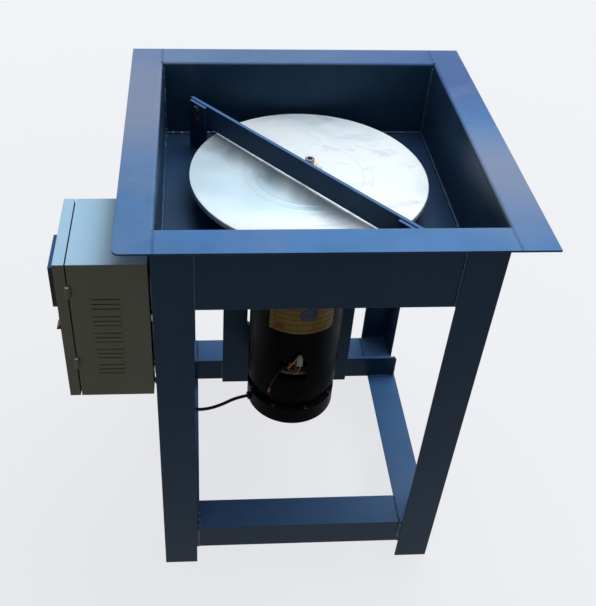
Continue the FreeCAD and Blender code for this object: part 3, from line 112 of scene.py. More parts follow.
class Finish:
    """A Principled material, built up from a few kinds of node."""

    def __init__(self, name, roughness=0.5, metallic=0.0, **sockets):
        self.material = bpy.data.materials.new(name)
        self.material.use_nodes = True
        self.nodes = self.material.node_tree.nodes
        self.links = self.material.node_tree.links
        self.shader = self.nodes["Principled BSDF"]
        self.shader.inputs["Roughness"].default_value = roughness
        self.shader.inputs["Metallic"].default_value = metallic
        for socket, value in sockets.items():
            self.shader.inputs[socket.replace("_", " ")].default_value = value
        self.place = self.add("ShaderNodeTexCoord").outputs["Object"]
        self.relief = None

    def add(self, kind, **settings):
        """A new node with its settings."""
        node = self.nodes.new(kind)
        for key, value in settings.items():
            setattr(node, key, value)
        return node

    def feed(self, socket, value):
        """Links a socket to another, or gives it a plain value."""
        if isinstance(value, bpy.types.NodeSocket):
            self.links.new(value, socket)
        else:
            socket.default_value = value

    def moved(self, offset=(0, 0, 0), scale=(1, 1, 1), turn=(0, 0, 0)):
        """The place of a point, moved, turned and stretched."""
        node = self.add("ShaderNodeMapping", vector_type="TEXTURE")
        self.feed(node.inputs["Vector"], self.place)
        node.inputs["Location"].default_value = offset
        node.inputs["Rotation"].default_value = turn
        node.inputs["Scale"].default_value = scale
        return node.outputs["Vector"]

    def noise(self, scale, detail=3.0, rough=0.55, vector=None, distortion=0.0):
        """Noise at the point, or at another vector."""
        node = self.add("ShaderNodeTexNoise")
        self.feed(node.inputs["Vector"], vector or self.place)
        node.inputs["Scale"].default_value = scale
        node.inputs["Detail"].default_value = detail
        node.inputs["Roughness"].default_value = rough
        node.inputs["Distortion"].default_value = distortion
        return node.outputs["Fac"]

    def spread(self, value, low, high, out_low=0.0, out_high=1.0):
        """The value stretched from low..high to out_low..out_high, and held there."""
        node = self.add("ShaderNodeMapRange")
        self.feed(node.inputs["Value"], value)
        for socket, number in (("From Min", low), ("From Max", high),
                               ("To Min", out_low), ("To Max", out_high)):
            node.inputs[socket].default_value = number
        return node.outputs["Result"]

    def math(self, operation, first, second=0.0):
        node = self.add("ShaderNodeMath", operation=operation)
        self.feed(node.inputs[0], first)
        self.feed(node.inputs[1], second)
        return node.outputs[0]

    def less(self, first, second):
        """The first without the second."""
        return self.math("SUBTRACT", first, second)

    def weak(self, mask, strength):
        """A mask or a value times a number."""
        return self.math("MULTIPLY", mask, strength)

    def length(self, first, second):
        """The length of a line with these two sides."""
        square = self.math("ADD", self.both(first, first), self.both(second, second))
        return self.math("SQRT", square)

    def axis(self, name, vector=None):
        """The X, Y or Z of a vector, or of the point itself."""
        node = self.add("ShaderNodeSeparateXYZ")
        self.feed(node.inputs[0], vector or self.place)
        return node.outputs[name]

    def line(self, along, across):
        """A point on a plane, for noise that runs along lines."""
        node = self.add("ShaderNodeCombineXYZ")
        self.feed(node.inputs[0], along)
        self.feed(node.inputs[1], across)
        return node.outputs[0]

    def facing_up(self, low=0.5, high=0.95):
        """1 on what faces up."""
        normal = self.add("ShaderNodeNewGeometry").outputs["Normal"]
        return self.spread(self.axis("Z", normal), low, high)

    def band(self, value, centre, half, soft):
        """1 where value is within half of centre, falling to 0 over soft."""
        away = self.math("ABSOLUTE", self.less(value, centre))
        return self.spread(away, half + soft, half)

    def both(self, first, second):
        """Two masks together."""
        return self.math("MULTIPLY", first, second)

    def either(self, *masks):
        """The strongest of some masks."""
        whole = masks[0]
        for mask in masks[1:]:
            whole = self.math("MAXIMUM", whole, mask)
        return whole

    def mix(self, factor, first, second):
        """The first colour at 0, the second at 1."""
        node = self.add("ShaderNodeMix", data_type="RGBA")
        self.feed(node.inputs[0], factor)
        for socket, value in ((node.inputs[6], first), (node.inputs[7], second)):
            self.feed(socket, value if isinstance(value, bpy.types.NodeSocket) else (*value, 1))
        return node.outputs[2]

    def colour(self, value):
        self.feed(self.shader.inputs["Base Color"], value)

    def colour_so_far(self):
        return self.shader.inputs["Base Color"].links[0].from_socket

    def roughness(self, value):
        self.feed(self.shader.inputs["Roughness"], value)

    def bump(self, height, strength, distance):
        """Relief, laid over what was there before."""
        node = self.add("ShaderNodeBump")
        node.inputs["Strength"].default_value = strength
        node.inputs["Distance"].default_value = distance
        self.feed(node.inputs["Height"], height)
        if self.relief is not None:
            self.feed(node.inputs["Normal"], self.relief)
        self.relief = node.outputs["Normal"]
        self.feed(self.shader.inputs["Normal"], self.relief)

    def soft_edges(self, radius):
        """Rounds the look of sharp edges. Called before any bump."""
        node = self.add("ShaderNodeBevel", samples=6)
        node.inputs["Radius"].default_value = radius
        self.relief = node.outputs["Normal"]
        self.feed(self.shader.inputs["Normal"], self.relief)

    def edges(self, radius, low=0.985, high=0.86):
        """1 along sharp edges, for wear."""
        bevel = self.add("ShaderNodeBevel", samples=6)
        bevel.inputs["Radius"].default_value = radius
        plain = self.add("ShaderNodeNewGeometry").outputs["Normal"]
        dot = self.add("ShaderNodeVectorMath", operation="DOT_PRODUCT")
        self.feed(dot.inputs[0], bevel.outputs["Normal"])
        self.feed(dot.inputs[1], plain)
        return self.spread(dot.outputs["Value"], low, high)


FINISHES = {}


def painted_steel(name, flat, pale):
    """Navy gloss enamel with orange peel, dust and worn edges. Flat and pale are its two tones on
    what faces up, painted lighter there as painted light; the sides get darker painted shade."""
    made = Finish(name, Specular_IOR_Level=0.13, Specular_Tint=(0.55, 0.82, 1.0, 1))
    made.soft_edges(0.0014)
    broad = made.noise(2.6, 3)
    patch = made.noise(16, 5, 0.6)
    dust = made.spread(made.noise(46, 6, 0.7), 0.5, 0.75)
    # Painted shade: dark tones on the sides. Painted light: the lighter flat and pale tones on what
    # faces up.
    painted_shade_sides = made.mix(made.spread(broad, 0.35, 0.65), (0.014, 0.038, 0.078), (0.020, 0.050, 0.102))
    painted_light_tops = made.mix(made.spread(broad, 0.4, 0.62), flat, pale)
    base = made.mix(made.facing_up(), painted_shade_sides, painted_light_tops)
    base = made.mix(made.spread(patch, 0.45, 0.75, 0, 0.25), base, (0.045, 0.082, 0.13))
    base = made.mix(made.both(dust, made.spread(broad, 0.5, 0.8, 0, 0.2)), base, (0.16, 0.17, 0.18))
    worn = made.both(made.edges(0.0012), made.spread(made.noise(120, 4), 0.52, 0.66))
    base = made.mix(made.weak(worn, 0.5), base, (0.17, 0.2, 0.24))
    made.colour(base)
    made.roughness(made.spread(patch, 0.3, 0.7, 0.25, 0.42))
    made.bump(made.noise(190, 2, 0.5), 0.16, 0.0006)
    made.bump(broad, 0.18, 0.004)
    return made


# Painted reflections of the sky on the rim's top: place from the middle, reach, strength and
# colour.
RIM_PAINTED_REFLECTIONS = (
    (-0.27, 0.13, 0.26, 0.95, (0.230, 0.275, 0.390)),
    (0.27, -0.10, 0.20, 0.85, (0.250, 0.285, 0.400)),
    (0.0, 0.30, 0.30, 0.75, (0.120, 0.175, 0.300)),
    (0.29, 0.20, 0.24, 0.90, (0.060, 0.115, 0.290)),
)


def rim_steel():
    """The same paint on the tray's sides, lighter on top as painted light, with painted sky
    reflections on the rim's top and the ground welds at the rim's four joints.
    """
    made = painted_steel("rim_paint", (0.064, 0.205, 0.490), (0.105, 0.225, 0.440))
    across, along = made.less(made.axis("X"), MIDDLE_X), made.axis("Y")
    wander = made.spread(made.noise(60, 3), 0.3, 0.7, -0.0012, 0.0012)
    joint = made.band(made.math("ADD", made.math("ABSOLUTE", across), wander),
                      HALF_OPEN + 0.001, 0.0012, 0.0022)
    beyond = made.spread(made.math("ABSOLUTE", along), HALF_OPEN - 0.001, HALF_OPEN + 0.001)
    on_rim = made.spread(made.axis("Z"), RIM_TOP - 0.004, RIM_TOP - 0.002)
    seam = made.both(made.both(joint, beyond), on_rim)
    made.bump(seam, 0.4, 0.0010)
    base = made.colour_so_far()
    uneven = made.spread(made.noise(3.2, 4, 0.55), 0.3, 0.7, -0.05, 0.05)
    # Painted reflection: pale and deep blue patches of sky on the rim's top.
    for x, y, radius, strength, colour in RIM_PAINTED_REFLECTIONS:
        away = made.length(made.less(across, x), made.less(along, y))
        patch = made.spread(made.math("ADD", away, uneven), 0.25 * radius, radius, strength, 0)
        base = made.mix(made.both(on_rim, patch), base, colour)
    # Painted reflection: pale clouds on the rim's top.
    painted_cloud_reflection = made.spread(made.noise(7, 5, 0.6, distortion=0.6), 0.55, 0.72, 0, 0.4)
    base = made.mix(made.both(on_rim, painted_cloud_reflection), base, (0.215, 0.270, 0.400))
    made.colour(made.mix(made.weak(seam, 0.3), base, (0.014, 0.03, 0.07)))
    return made


def weld_paint():
    """Paint over a weld bead: glossier and lumpier than the sheet."""
    made = Finish("weld_paint", Specular_IOR_Level=0.35, Specular_Tint=(0.62, 0.82, 1.0, 1))
    grain = made.noise(340, 4, 0.6)
    base = made.mix(made.spread(grain, 0.4, 0.7), (0.024, 0.06, 0.14), (0.05, 0.085, 0.14))
    chips = made.both(made.spread(made.noise(150, 4, 0.6), 0.54, 0.62),
                      made.spread(made.noise(7, 3), 0.45, 0.6))
    made.colour(made.mix(made.weak(chips, 0.8), base, (0.42, 0.50, 0.55)))
    made.roughness(made.spread(grain, 0.3, 0.7, 0.2, 0.4))
    made.bump(grain, 0.4, 0.0012)
    return made


def turned_metal():
    """The wheel head: turned metal with rings, scratches, smears and dried slip, tinted blue with
    painted sky reflection and clouds, and painted white glare past the bar and at the front.
    """
    made = Finish("wheel_metal")
    made.soft_edges(0.0006)
    place = made.moved((AXIS.x, AXIS.y, AXIS.z))
    across, along = made.axis("X", place), made.axis("Y", place)
    radius = made.length(across, along)
    turn = made.math("ARCTAN2", along, across)
    rings = made.noise(1, 6, 0.75, made.line(made.weak(radius, 900), made.noise(9, 2)))
    arcs = made.noise(1, 3, 0.6, made.line(made.weak(radius, 1500), made.weak(turn, 3)))
    scratch = made.spread(arcs, 0.66, 0.74)
    cloud = made.noise(6, 4, 0.6, distortion=0.8)
    smear = made.spread(made.noise(11, 5, 0.6, made.moved(scale=(1.9, 0.8, 1)), 1.4), 0.56, 0.70)
    clay = made.both(made.spread(radius, 0.11, 0.19),
                     made.spread(made.noise(8, 5, 0.65), 0.46, 0.66))
    groove = made.either(made.band(radius, 0.093, 0.0007, 0.0008),
                         made.band(radius, 0.108, 0.0004, 0.0008))
    # The side past the bar and the front edge are painted near white as painted glare, and less
    # like a mirror.
    past_bar = made.math("ADD", made.weak(across, 0.763), made.weak(along, 0.647))
    uneven = made.spread(cloud, 0.3, 0.7, -0.05, 0.05)
    painted_glare = made.either(made.spread(made.math("ADD", past_bar, uneven), -0.10, 0.03),
                         made.spread(made.less(0.0, along), 0.10, 0.15))
    made.feed(made.shader.inputs["Metallic"], made.less(0.86, made.weak(painted_glare, 0.72)))
    # Painted reflection: a blue sky tint, and painted glare near white.
    base = made.mix(painted_glare, (0.48, 0.63, 0.71), (0.96, 0.98, 0.98))
    for mask, colour in (
        (made.spread(rings, 0.35, 0.65, 0, 0.22), (0.68, 0.71, 0.72)),
        # Painted reflection of pale blue clouds.
        (made.spread(cloud, 0.52, 0.66, 0, 0.45), (0.55, 0.72, 0.80)),
        (made.weak(smear, 0.55), (0.36, 0.43, 0.50)),
        (made.weak(clay, 0.35), (0.66, 0.60, 0.52)),
        (made.weak(scratch, 0.4), (0.42, 0.46, 0.48)),
        (made.weak(groove, 0.25), (0.55, 0.58, 0.6)),
    ):
        base = made.mix(mask, base, colour)
    made.colour(base)
    made.roughness(made.math("ADD", made.spread(cloud, 0.3, 0.7, 0.30, 0.37),
                             made.weak(made.either(smear, clay), 0.14)))
    made.bump(rings, 0.06, 0.0004)
    made.bump(groove, 0.3, 0.0005)
    return made


def metal(name, colour, second, roughness, grain=420, bump=0.12, stretch=(1, 1, 1), metallic=1.0):
    """Metal with a grain, small stains and softly broken edges."""
    made = Finish(name, metallic=metallic)
    made.soft_edges(0.0004)
    fine = made.noise(grain, 4, 0.6, vector=made.moved(scale=stretch))
    blotch = made.noise(38, 4, 0.6)
    base = made.mix(made.spread(fine, 0.35, 0.65), colour, second)
    base = made.mix(made.spread(blotch, 0.55, 0.8, 0, 0.45), base,
                    tuple(0.55 * value for value in colour))
    made.colour(base)
    made.roughness(made.spread(blotch, 0.3, 0.75, roughness - 0.07, roughness + 0.14))
    made.bump(fine, bump, 0.0003)
    return made


def plastic(name, colour, second, roughness, grain=900, bump=0.1, **sockets):
    """Moulded plastic, rubber or lacquer with a fine texture and handling marks."""
    made = Finish(name, **sockets)
    made.soft_edges(0.0005)
    fine = made.noise(grain, 3, 0.55)
    blotch = made.noise(30, 4, 0.6)
    made.colour(made.mix(made.spread(blotch, 0.35, 0.7), colour, second))
    made.roughness(made.spread(blotch, 0.3, 0.7, roughness - 0.06, roughness + 0.1))
    made.bump(fine, bump, 0.0003)
    return made


def box_paint():
    """Textured olive powder coat with a pale blue top as painted sky reflection, a little dust and
    rubbed edges.
    """
    made = Finish("box_paint", Specular_IOR_Level=0.15)
    made.soft_edges(0.0009)
    broad = made.noise(6, 4)
    speck = made.noise(520, 3, 0.5)
    base = made.mix(made.spread(broad, 0.35, 0.7), (0.170, 0.172, 0.122), (0.205, 0.207, 0.148))
    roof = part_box("box_cover")[1].z
    # Painted reflection: the top is painted pale blue, as the sky would show in it.
    top = made.both(made.facing_up(), made.spread(made.axis("Z"), roof - 0.004, roof - 0.002))
    base = made.mix(top, base, (0.45, 0.67, 0.84))
    base = made.mix(made.spread(speck, 0.55, 0.75, 0, 0.25), base, (0.15, 0.155, 0.12))
    worn = made.both(made.edges(0.0008), made.spread(made.noise(150, 4), 0.5, 0.68))
    made.colour(made.mix(made.weak(worn, 0.6), base, (0.42, 0.43, 0.37)))
    made.roughness(made.spread(broad, 0.3, 0.7, 0.42, 0.56))
    made.bump(made.noise(260, 2, 0.5), 0.22, 0.0006)
    return made


def housing_plastic():
    """The speed panel's glossy black plastic, painted blue where it faces up as painted sky
    reflection.
    """
    made = Finish("housing", Specular_IOR_Level=0.14)
    made.soft_edges(0.0008)
    blotch = made.noise(26, 4, 0.6)
    base = made.mix(made.spread(blotch, 0.35, 0.7), (0.006, 0.007, 0.009), (0.010, 0.011, 0.014))
    # Painted reflection: blue on what faces up.
    made.colour(made.mix(made.facing_up(0.4, 0.9), base, (0.06, 0.17, 0.40)))
    made.roughness(made.spread(blotch, 0.3, 0.7, 0.24, 0.36))
    made.bump(made.noise(600, 3), 0.12, 0.0003)
    return made


def motor_paint():
    """Black satin lacquer on cast and drawn metal, with dust on what faces up."""
    made = Finish("motor_black", Specular_IOR_Level=0.015)
    made.soft_edges(0.0008)
    cast = made.noise(150, 4, 0.6)
    blotch = made.noise(18, 4, 0.6)
    dust = made.both(made.facing_up(0.3, 0.9),
                     made.spread(made.noise(60, 5, 0.7), 0.4, 0.7, 0, 0.5))
    base = made.mix(made.spread(blotch, 0.35, 0.7), (0.0022, 0.0028, 0.0034),
                    (0.0045, 0.0053, 0.006))
    made.colour(made.mix(dust, base, (0.07, 0.072, 0.072)))
    made.roughness(made.spread(blotch, 0.3, 0.7, 0.3, 0.46))
    made.bump(cast, 0.2, 0.0006)
    return made


LABEL_ROWS = (0.08, 0.23, 0.36, 0.49, 0.62, 0.75, 0.92)
LABEL_COLUMNS = (-0.34, -0.08, 0.22, 0.5)


def label_film():
    """A tan label film with plain ruled lines, one red block and no lettering."""
    low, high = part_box("motor_label")
    made = Finish("label", Specular_IOR_Level=0.08)
    height = made.math("DIVIDE", made.less(made.axis("Z"), low.z), high.z - low.z)
    turn = made.math("ARCTAN2", made.less(made.axis("X"), AXIS.x),
                     made.less(AXIS.y, made.axis("Y")))
    old = made.spread(made.noise(34, 5, 0.65), 0.35, 0.75)
    base = made.mix(old, (0.38, 0.245, 0.072), (0.29, 0.175, 0.055))
    base = made.mix(made.spread(made.noise(120, 3), 0.55, 0.8, 0, 0.5), base, (0.47, 0.34, 0.13))
    rows = made.either(*[made.band(height, level, 0.006, 0.006) for level in LABEL_ROWS])
    border = made.either(*[made.band(turn, place, 0.006, 0.006) for place in (-0.60, 0.78)])
    columns = made.either(*[made.band(turn, place, 0.004, 0.005) for place in LABEL_COLUMNS])
    columns = made.both(columns, made.band(height, 0.15, 0.07, 0.005))
    base = made.mix(made.weak(made.either(rows, border, columns), 0.75), base, (0.05, 0.03, 0.015))
    block = made.both(made.band(turn, -0.47, 0.09, 0.008), made.band(height, 0.155, 0.045, 0.01))
    base = made.mix(made.weak(block, 0.8), base, (0.32, 0.05, 0.025))
    corner = made.less(made.less(turn, 0.62), made.weak(height, 0.75))
    made.colour(made.mix(made.spread(corner, 0.0, 0.01), base, (0.006, 0.006, 0.007)))
    made.roughness(made.spread(old, 0, 1, 0.3, 0.45))
    made.bump(made.noise(60, 2), 0.15, 0.0008)
    return made


def circuit_lacquer():
    """Green solder mask with copper tracks under it and tinned pads."""
    made = Finish("circuit_board", Specular_IOR_Level=0.6)
    cells = made.add("ShaderNodeTexVoronoi", feature="DISTANCE_TO_EDGE", distance="MANHATTAN")
    made.feed(cells.inputs["Vector"], made.moved(scale=(4, 1, 1)))
    cells.inputs["Scale"].default_value = 95
    track = made.spread(cells.outputs["Distance"], 0.06, 0.09, 1, 0)
    base = made.mix(track, (0.008, 0.085, 0.035), (0.02, 0.19, 0.075))
    spots = made.add("ShaderNodeTexVoronoi")
    made.feed(spots.inputs["Vector"], made.moved(scale=(4, 1, 1)))
    spots.inputs["Scale"].default_value = 150
    pads = made.spread(spots.outputs["Distance"], 0.2, 0.16)
    made.colour(made.mix(pads, base, (0.55, 0.55, 0.5)))
    made.roughness(made.spread(made.noise(80), 0.3, 0.7, 0.22, 0.4))
    made.bump(track, 0.2, 0.0003)
    return made


def wound_copper():
    """Enamelled copper wire, laid in rows."""
    made = Finish("copper", metallic=0.85)
    rows = made.add("ShaderNodeTexWave", wave_type="BANDS", bands_direction="Z")
    made.feed(rows.inputs["Vector"], made.place)
    rows.inputs["Scale"].default_value = 160
    rows.inputs["Distortion"].default_value = 0.6
    made.colour(made.mix(rows.outputs["Fac"], (0.11, 0.038, 0.016), (0.28, 0.12, 0.055)))
    made.roughness(made.spread(made.noise(90), 0.3, 0.7, 0.25, 0.42))
    made.bump(rows.outputs["Fac"], 0.6, 0.0006)
    return made


def marked(name, node, colour, ink, marks, roughness=0.45):
    """A moulded button with plain signs on its outer face. A bar is (kind, y, z, half width, half
    height) and a ring is (kind, y, z, radius, half its line), from the middle of the button."""
    made = plastic(name, colour, tuple(0.85 * value for value in colour), roughness)
    low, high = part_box(node)
    side = made.less(made.axis("Y"), (low.y + high.y) / 2)
    rise = made.less(made.axis("Z"), (low.z + high.z) / 2)
    soft = 0.0002
    masks = []
    for kind, y, z, first, second in marks:
        along, up = made.less(side, y), made.less(rise, z)
        if kind == "bar":
            masks.append(made.both(made.band(along, 0, first, soft),
                                   made.band(up, 0, second, soft)))
        else:
            masks.append(made.band(made.length(along, up), first, second, soft))
    made.colour(made.mix(made.either(*masks), made.colour_so_far(), ink))
    made.shader.inputs["Specular IOR Level"].default_value = 0.12
    return made


KEY_GREY, KEY_GREEN, KEY_INK = (0.27, 0.29, 0.32), (0.05, 0.24, 0.09), (0.9, 0.9, 0.9)
SIDE_BAR, UP_BAR = ("bar", 0, 0, 0.0024, 0.0005), ("bar", 0, 0, 0.0005, 0.0024)


def make_finishes():
    """One material for each slot, and those that single nodes and added pieces wear."""
    FINISHES.update({
        "frame_paint": painted_steel("frame_paint", (0.072, 0.175, 0.390), (0.094, 0.190, 0.390)),
        # Painted shade: the tray floor wears a darker copy of the frame's paint, for its place down
        # in the tray.
        "tray_shaded_paint": painted_steel("tray_shaded_paint", (0.022, 0.055, 0.128), (0.034, 0.068, 0.130)),
        "rim_paint": rim_steel(), "weld_paint": weld_paint(), "housing": housing_plastic(),
        "wheel_metal": turned_metal(), "box_paint": box_paint(), "motor_black": motor_paint(),
        "label": label_film(), "circuit_board": circuit_lacquer(), "copper": wound_copper(),
        "zinc_steel": metal("zinc_steel", (0.60, 0.61, 0.62), (0.46, 0.48, 0.5), 0.34, 260),
        "black_steel": metal("black_steel", (0.05, 0.05, 0.054), (0.028, 0.028, 0.032), 0.45,
                             metallic=0.5),
        "socket_screw": metal("socket_screw", (0.30, 0.27, 0.31), (0.17, 0.15, 0.18), 0.3),
        "magnet": metal("magnet", (0.09, 0.09, 0.095), (0.06, 0.06, 0.062), 0.6, 300, 0.4,
                        metallic=0.5),
        "insulator": plastic("insulator", (0.10, 0.055, 0.028), (0.07, 0.038, 0.02), 0.55),
        "carbon": plastic("carbon", (0.03, 0.03, 0.032), (0.018, 0.018, 0.02), 0.6),
        "bearing_steel": metal("bearing_steel", (0.68, 0.69, 0.71), (0.6, 0.61, 0.62), 0.22),
        "black_rubber": plastic("black_rubber", (0.009, 0.009, 0.010), (0.016, 0.016, 0.017), 0.6,
                                500, 0.25, Specular_IOR_Level=0.12),
        "plated_sheet": metal("plated_sheet", (0.66, 0.62, 0.5), (0.56, 0.55, 0.47), 0.36, 90, 0.1,
                              (1, 1, 6)),
        "bare_aluminium": metal("bare_aluminium", (0.72, 0.73, 0.74), (0.6, 0.61, 0.63), 0.34,
                                700, 0.2, (1, 1, 12)),
        "black_plastic": plastic("black_plastic", (0.014, 0.014, 0.016), (0.026, 0.026, 0.03),
                                 0.42, 700, 0.2, Specular_IOR_Level=0.25),
        "core_steel": metal("core_steel", (0.3, 0.29, 0.28), (0.18, 0.175, 0.17), 0.45, 1600, 0.4,
                            (12, 12, 1)),
        "hub_iron": metal("hub_iron", (0.24, 0.24, 0.25), (0.15, 0.15, 0.16), 0.42, 200, 0.3),
        "pale_steel": metal("pale_steel", (0.78, 0.8, 0.8), (0.62, 0.66, 0.68), 0.2, 300),
        "yellow_zinc": metal("yellow_zinc", (0.86, 0.66, 0.26), (0.74, 0.47, 0.18), 0.3, 90, 0.1),
        "display_window": plastic("display_window", (0.035, 0.006, 0.006), (0.05, 0.008, 0.008),
                                  0.12, 60, 0.03, Coat_Weight=0.6),
        "chrome_lock": metal("chrome_lock", (0.78, 0.78, 0.8), (0.7, 0.7, 0.72), 0.13, 300, 0.05),
        "red_plastic": marked("red_plastic", "rocker_switch", (0.30, 0.006, 0.010),
                              (0.55, 0.42, 0.42), [("bar", 0, 0.0055, 0.0004, 0.0018),
                                                   ("ring", 0, -0.006, 0.0018, 0.0003)]),
        "key_minus": marked("key_minus", "key_slower", KEY_GREY, KEY_INK, [SIDE_BAR]),
        "key_power": marked("key_power", "key_start", KEY_GREEN, KEY_INK,
                            [("ring", 0, 0, 0.0021, 0.0003), ("bar", 0, 0.0018, 0.0004, 0.0014)]),
        "key_plus": marked("key_plus", "key_faster", KEY_GREY, KEY_INK, [SIDE_BAR, UP_BAR]),
        "white_nylon": plastic("white_nylon", (0.42, 0.42, 0.39), (0.34, 0.34, 0.31), 0.5),
        "orange_wire": plastic("orange_wire", (0.62, 0.17, 0.03), (0.5, 0.13, 0.03), 0.4),
        "grey_wire": plastic("grey_wire", (0.12, 0.12, 0.12), (0.17, 0.17, 0.17), 0.45),
        "red_wire": plastic("red_wire", (0.42, 0.012, 0.016), (0.33, 0.01, 0.012), 0.4),
        "blue_sleeve": plastic("blue_sleeve", (0.02, 0.05, 0.2), (0.015, 0.04, 0.15), 0.3),
        "badge": plastic("badge", (0.012, 0.035, 0.062), (0.02, 0.05, 0.08), 0.35,
                         Specular_IOR_Level=0.2),
        "relay_case": plastic("relay_case", (0.03, 0.12, 0.42), (0.025, 0.1, 0.36), 0.35),
    })


# Nodes whose finish isn't that of their slot.
OWN_FINISH = {
    "tray_side_left": "rim_paint", "tray_side_right": "rim_paint", "tray_side_front": "rim_paint",
    "tray_side_back": "rim_paint", "tray_floor": "tray_shaded_paint", "panel_housing": "housing",
    "key_slower": "key_minus", "key_start": "key_power", "key_faster": "key_plus",
    "motor_cable": "black_rubber", "clamp_screw": "socket_screw",
}


def dress_nodes():
    """Every CAD node takes its slot's finish, or its own."""
    for name, item in NODES.items():
        slot = item.data.materials[0].name.split(".")[0] if item.data.materials else ""
        wanted = OWN_FINISH.get(name, slot)
        if wanted not in FINISHES:
            raise RuntimeError(f"{name} has no finish: {wanted}")
        item.data.materials.clear()
        item.data.materials.append(FINISHES[wanted].material)


# ---------------------------------------------------------------- mesh helpers

def piece(name, mesh, finish):
    """A curve, or a bmesh that is used up, as a piece that rides on the frame."""
    if isinstance(mesh, bmesh.types.BMesh):
        data = bpy.data.meshes.new(name)
        mesh.normal_update()
        mesh.to_mesh(data)
        mesh.free()
        for face in data.polygons:
            face.use_smooth = True
    else:
        data = mesh
    item = bpy.data.objects.new(name, data)
    bpy.context.scene.collection.objects.link(item)
    data.materials.append(FINISHES[finish].material)
    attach(item, "frame")
    return item


def circle(sides):
    """Angles round a circle."""
    return [math.tau * k / sides for k in range(sides)]


def across(way):
    """Two directions at right angles to a way and to each other."""
    side = way.orthogonal().normalized()
    return side, way.cross(side)


def ring(centre, side, other, radius, sides):
    """Points round a circle in the plane of two directions."""
    return [centre + radius * (math.cos(angle) * side + math.sin(angle) * other)
            for angle in circle(sides)]


def skin(mesh, rings):
    """Joins rings of points with faces and closes both ends."""
    made = [[mesh.verts.new(point) for point in ring] for ring in rings]
    count = len(made[0])
    for first, second in zip(made, made[1:]):
        for k in range(count):
            mesh.faces.new((first[k], first[(k + 1) % count], second[(k + 1) % count], second[k]))
    mesh.faces.new(list(reversed(made[0])))
    mesh.faces.new(made[-1])


RIPPLE, WANDER = 0.0011, 0.00016


def weld(mesh, start, end, radius, rng):
    """A hand-laid weld bead: overlapping ripples that wander a little."""
    start, end = Vector(start), Vector(end)
    way = (end - start).normalized()
    side, other = across(way)
    count = max(4, int((end - start).length / RIPPLE))
    rings = []
    drift = Vector()
    for index in range(count + 1):
        centre = start.lerp(end, index / count)
        drift = drift * 0.93 + Vector([rng.uniform(-1, 1) * WANDER for _ in range(3)])
        drift -= way * drift.dot(way)
        ripple = 1 + 0.16 * (0.5 - (index % 3) / 2) + rng.uniform(-0.05, 0.05)
        taper = min(1.0, (min(index, count - index) + 0.6) / 3)
        rings.append(ring(centre + drift, side, other, radius * ripple * taper, 8))
    skin(mesh, rings)


def turned_form(mesh, at, way, profile, sides=28):
    """A turned form: (distance along, radius) pairs about a line."""
    way = Vector(way).normalized()
    side, other = across(way)
    skin(mesh, [ring(Vector(at) + way * along, side, other, radius, sides)
                for along, radius in profile])


def moulded_block(mesh, low, high, edge):
    """A block with rounded edges."""
    low, high = Vector(low), Vector(high)
    made = bmesh.ops.create_cube(mesh, size=1)["verts"]
    for vertex in made:
        for k in range(3):
            vertex.co[k] = low[k] if vertex.co[k] < 0 else high[k]
    edges = {side for vertex in made for side in vertex.link_edges}
    bmesh.ops.bevel(mesh, geom=list(edges), offset=edge, segments=3, affect="EDGES", profile=0.6)


POINT_RADIUS = 0.02  # small, because a curve's box grows by it


def wire(name, points, radius, finish):
    """A round wire of the frame along a smooth line."""
    data = bpy.data.curves.new(name, "CURVE")
    data.dimensions = "3D"
    data.bevel_depth = radius / POINT_RADIUS
    data.bevel_resolution = 4
    data.use_fill_caps = True
    spline = data.splines.new("NURBS")
    spline.points.add(len(points) - 1)
    for point, place in zip(spline.points, points):
        point.co = (*place, 1)
        point.radius = POINT_RADIUS
    spline.order_u = 3
    spline.use_endpoint_u = True
    spline.resolution_u = 10
    return piece(name, data, finish)


# ---------------------------------------------------------------- the motor's cable

CABLE_DIAMETER, CABLE_LENGTH = 0.0065, 0.412
CABLE_ROUTE = [
    (-0.03655, 0.0060, 0.184), (-0.06125, -0.0002, 0.184), (-0.08725, -0.010, 0.177),
    (-0.11625, -0.026, 0.182), (-0.14325, -0.044, 0.201), (-0.16725, -0.062, 0.234),
    (-0.18825, -0.080, 0.276), (-0.20525, -0.096, 0.326), (-0.22025, -0.111, 0.378),
    (-0.22825, -0.120, 0.426), (-0.22825, -0.120, 0.463),
]


def make_cable():
    """The cable from the motor's grommet to the gland of the control box."""
    cable = wire("cable", CABLE_ROUTE, CABLE_DIAMETER / 2, "black_rubber")
    cable.data.bevel_resolution = 8
    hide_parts("motor_cable")


# ---------------------------------------------------------------- pieces of the frame

SIGNS = (-1, 1)
CORNERS = [(sx, sy) for sx in SIGNS for sy in SIGNS]
RIM_CLEAR = 0.008  # from the top of an upright bead to the top of the rim
BEAD = 0.003  # radius of the beads on the crossbar and the motor plate
PROUD = 0.0006  # a bead's middle above the sheet that it lies on
TOE = WALL_OUT + ANGLE_THICK - ANGLE_WIDE  # the edge of a leg, from the middle of the frame
RAIL_EDGE = WALL_OUT - ANGLE_WIDE  # the inner edge of a rail, from the middle of the frame
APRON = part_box("tray_side_front")[0].z
RAIL_LOW, RAIL_TOP = (corner.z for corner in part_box("rails_end"))


def add_welds(name, mesh):
    piece(name, mesh, "weld_paint")


def make_tray_welds(rng):
    """Upright beads in the tray's corners and four round its floor."""
    mesh = bmesh.new()
    left, right = MIDDLE_X - HALF_OPEN, MIDDLE_X + HALF_OPEN
    near, far = -HALF_OPEN, HALF_OPEN
    for x in (left, right):
        for y in (near, far):
            weld(mesh, (x, y, FLOOR_TOP + 0.002), (x, y, RIM_TOP - RIM_CLEAR), 0.0036, rng)
    inset, lift = 0.0012, FLOOR_TOP + 0.0012
    west, east, south, north = left + inset, right - inset, near + inset, far - inset
    for (x0, y0), (x1, y1) in (((west, south), (east, south)), ((west, north), (east, north)),
                               ((west, south), (west, north)), ((east, south), (east, north))):
        weld(mesh, (x0, y0, lift), (x1, y1, lift), 0.0030, rng)
    add_welds("tray_welds", mesh)


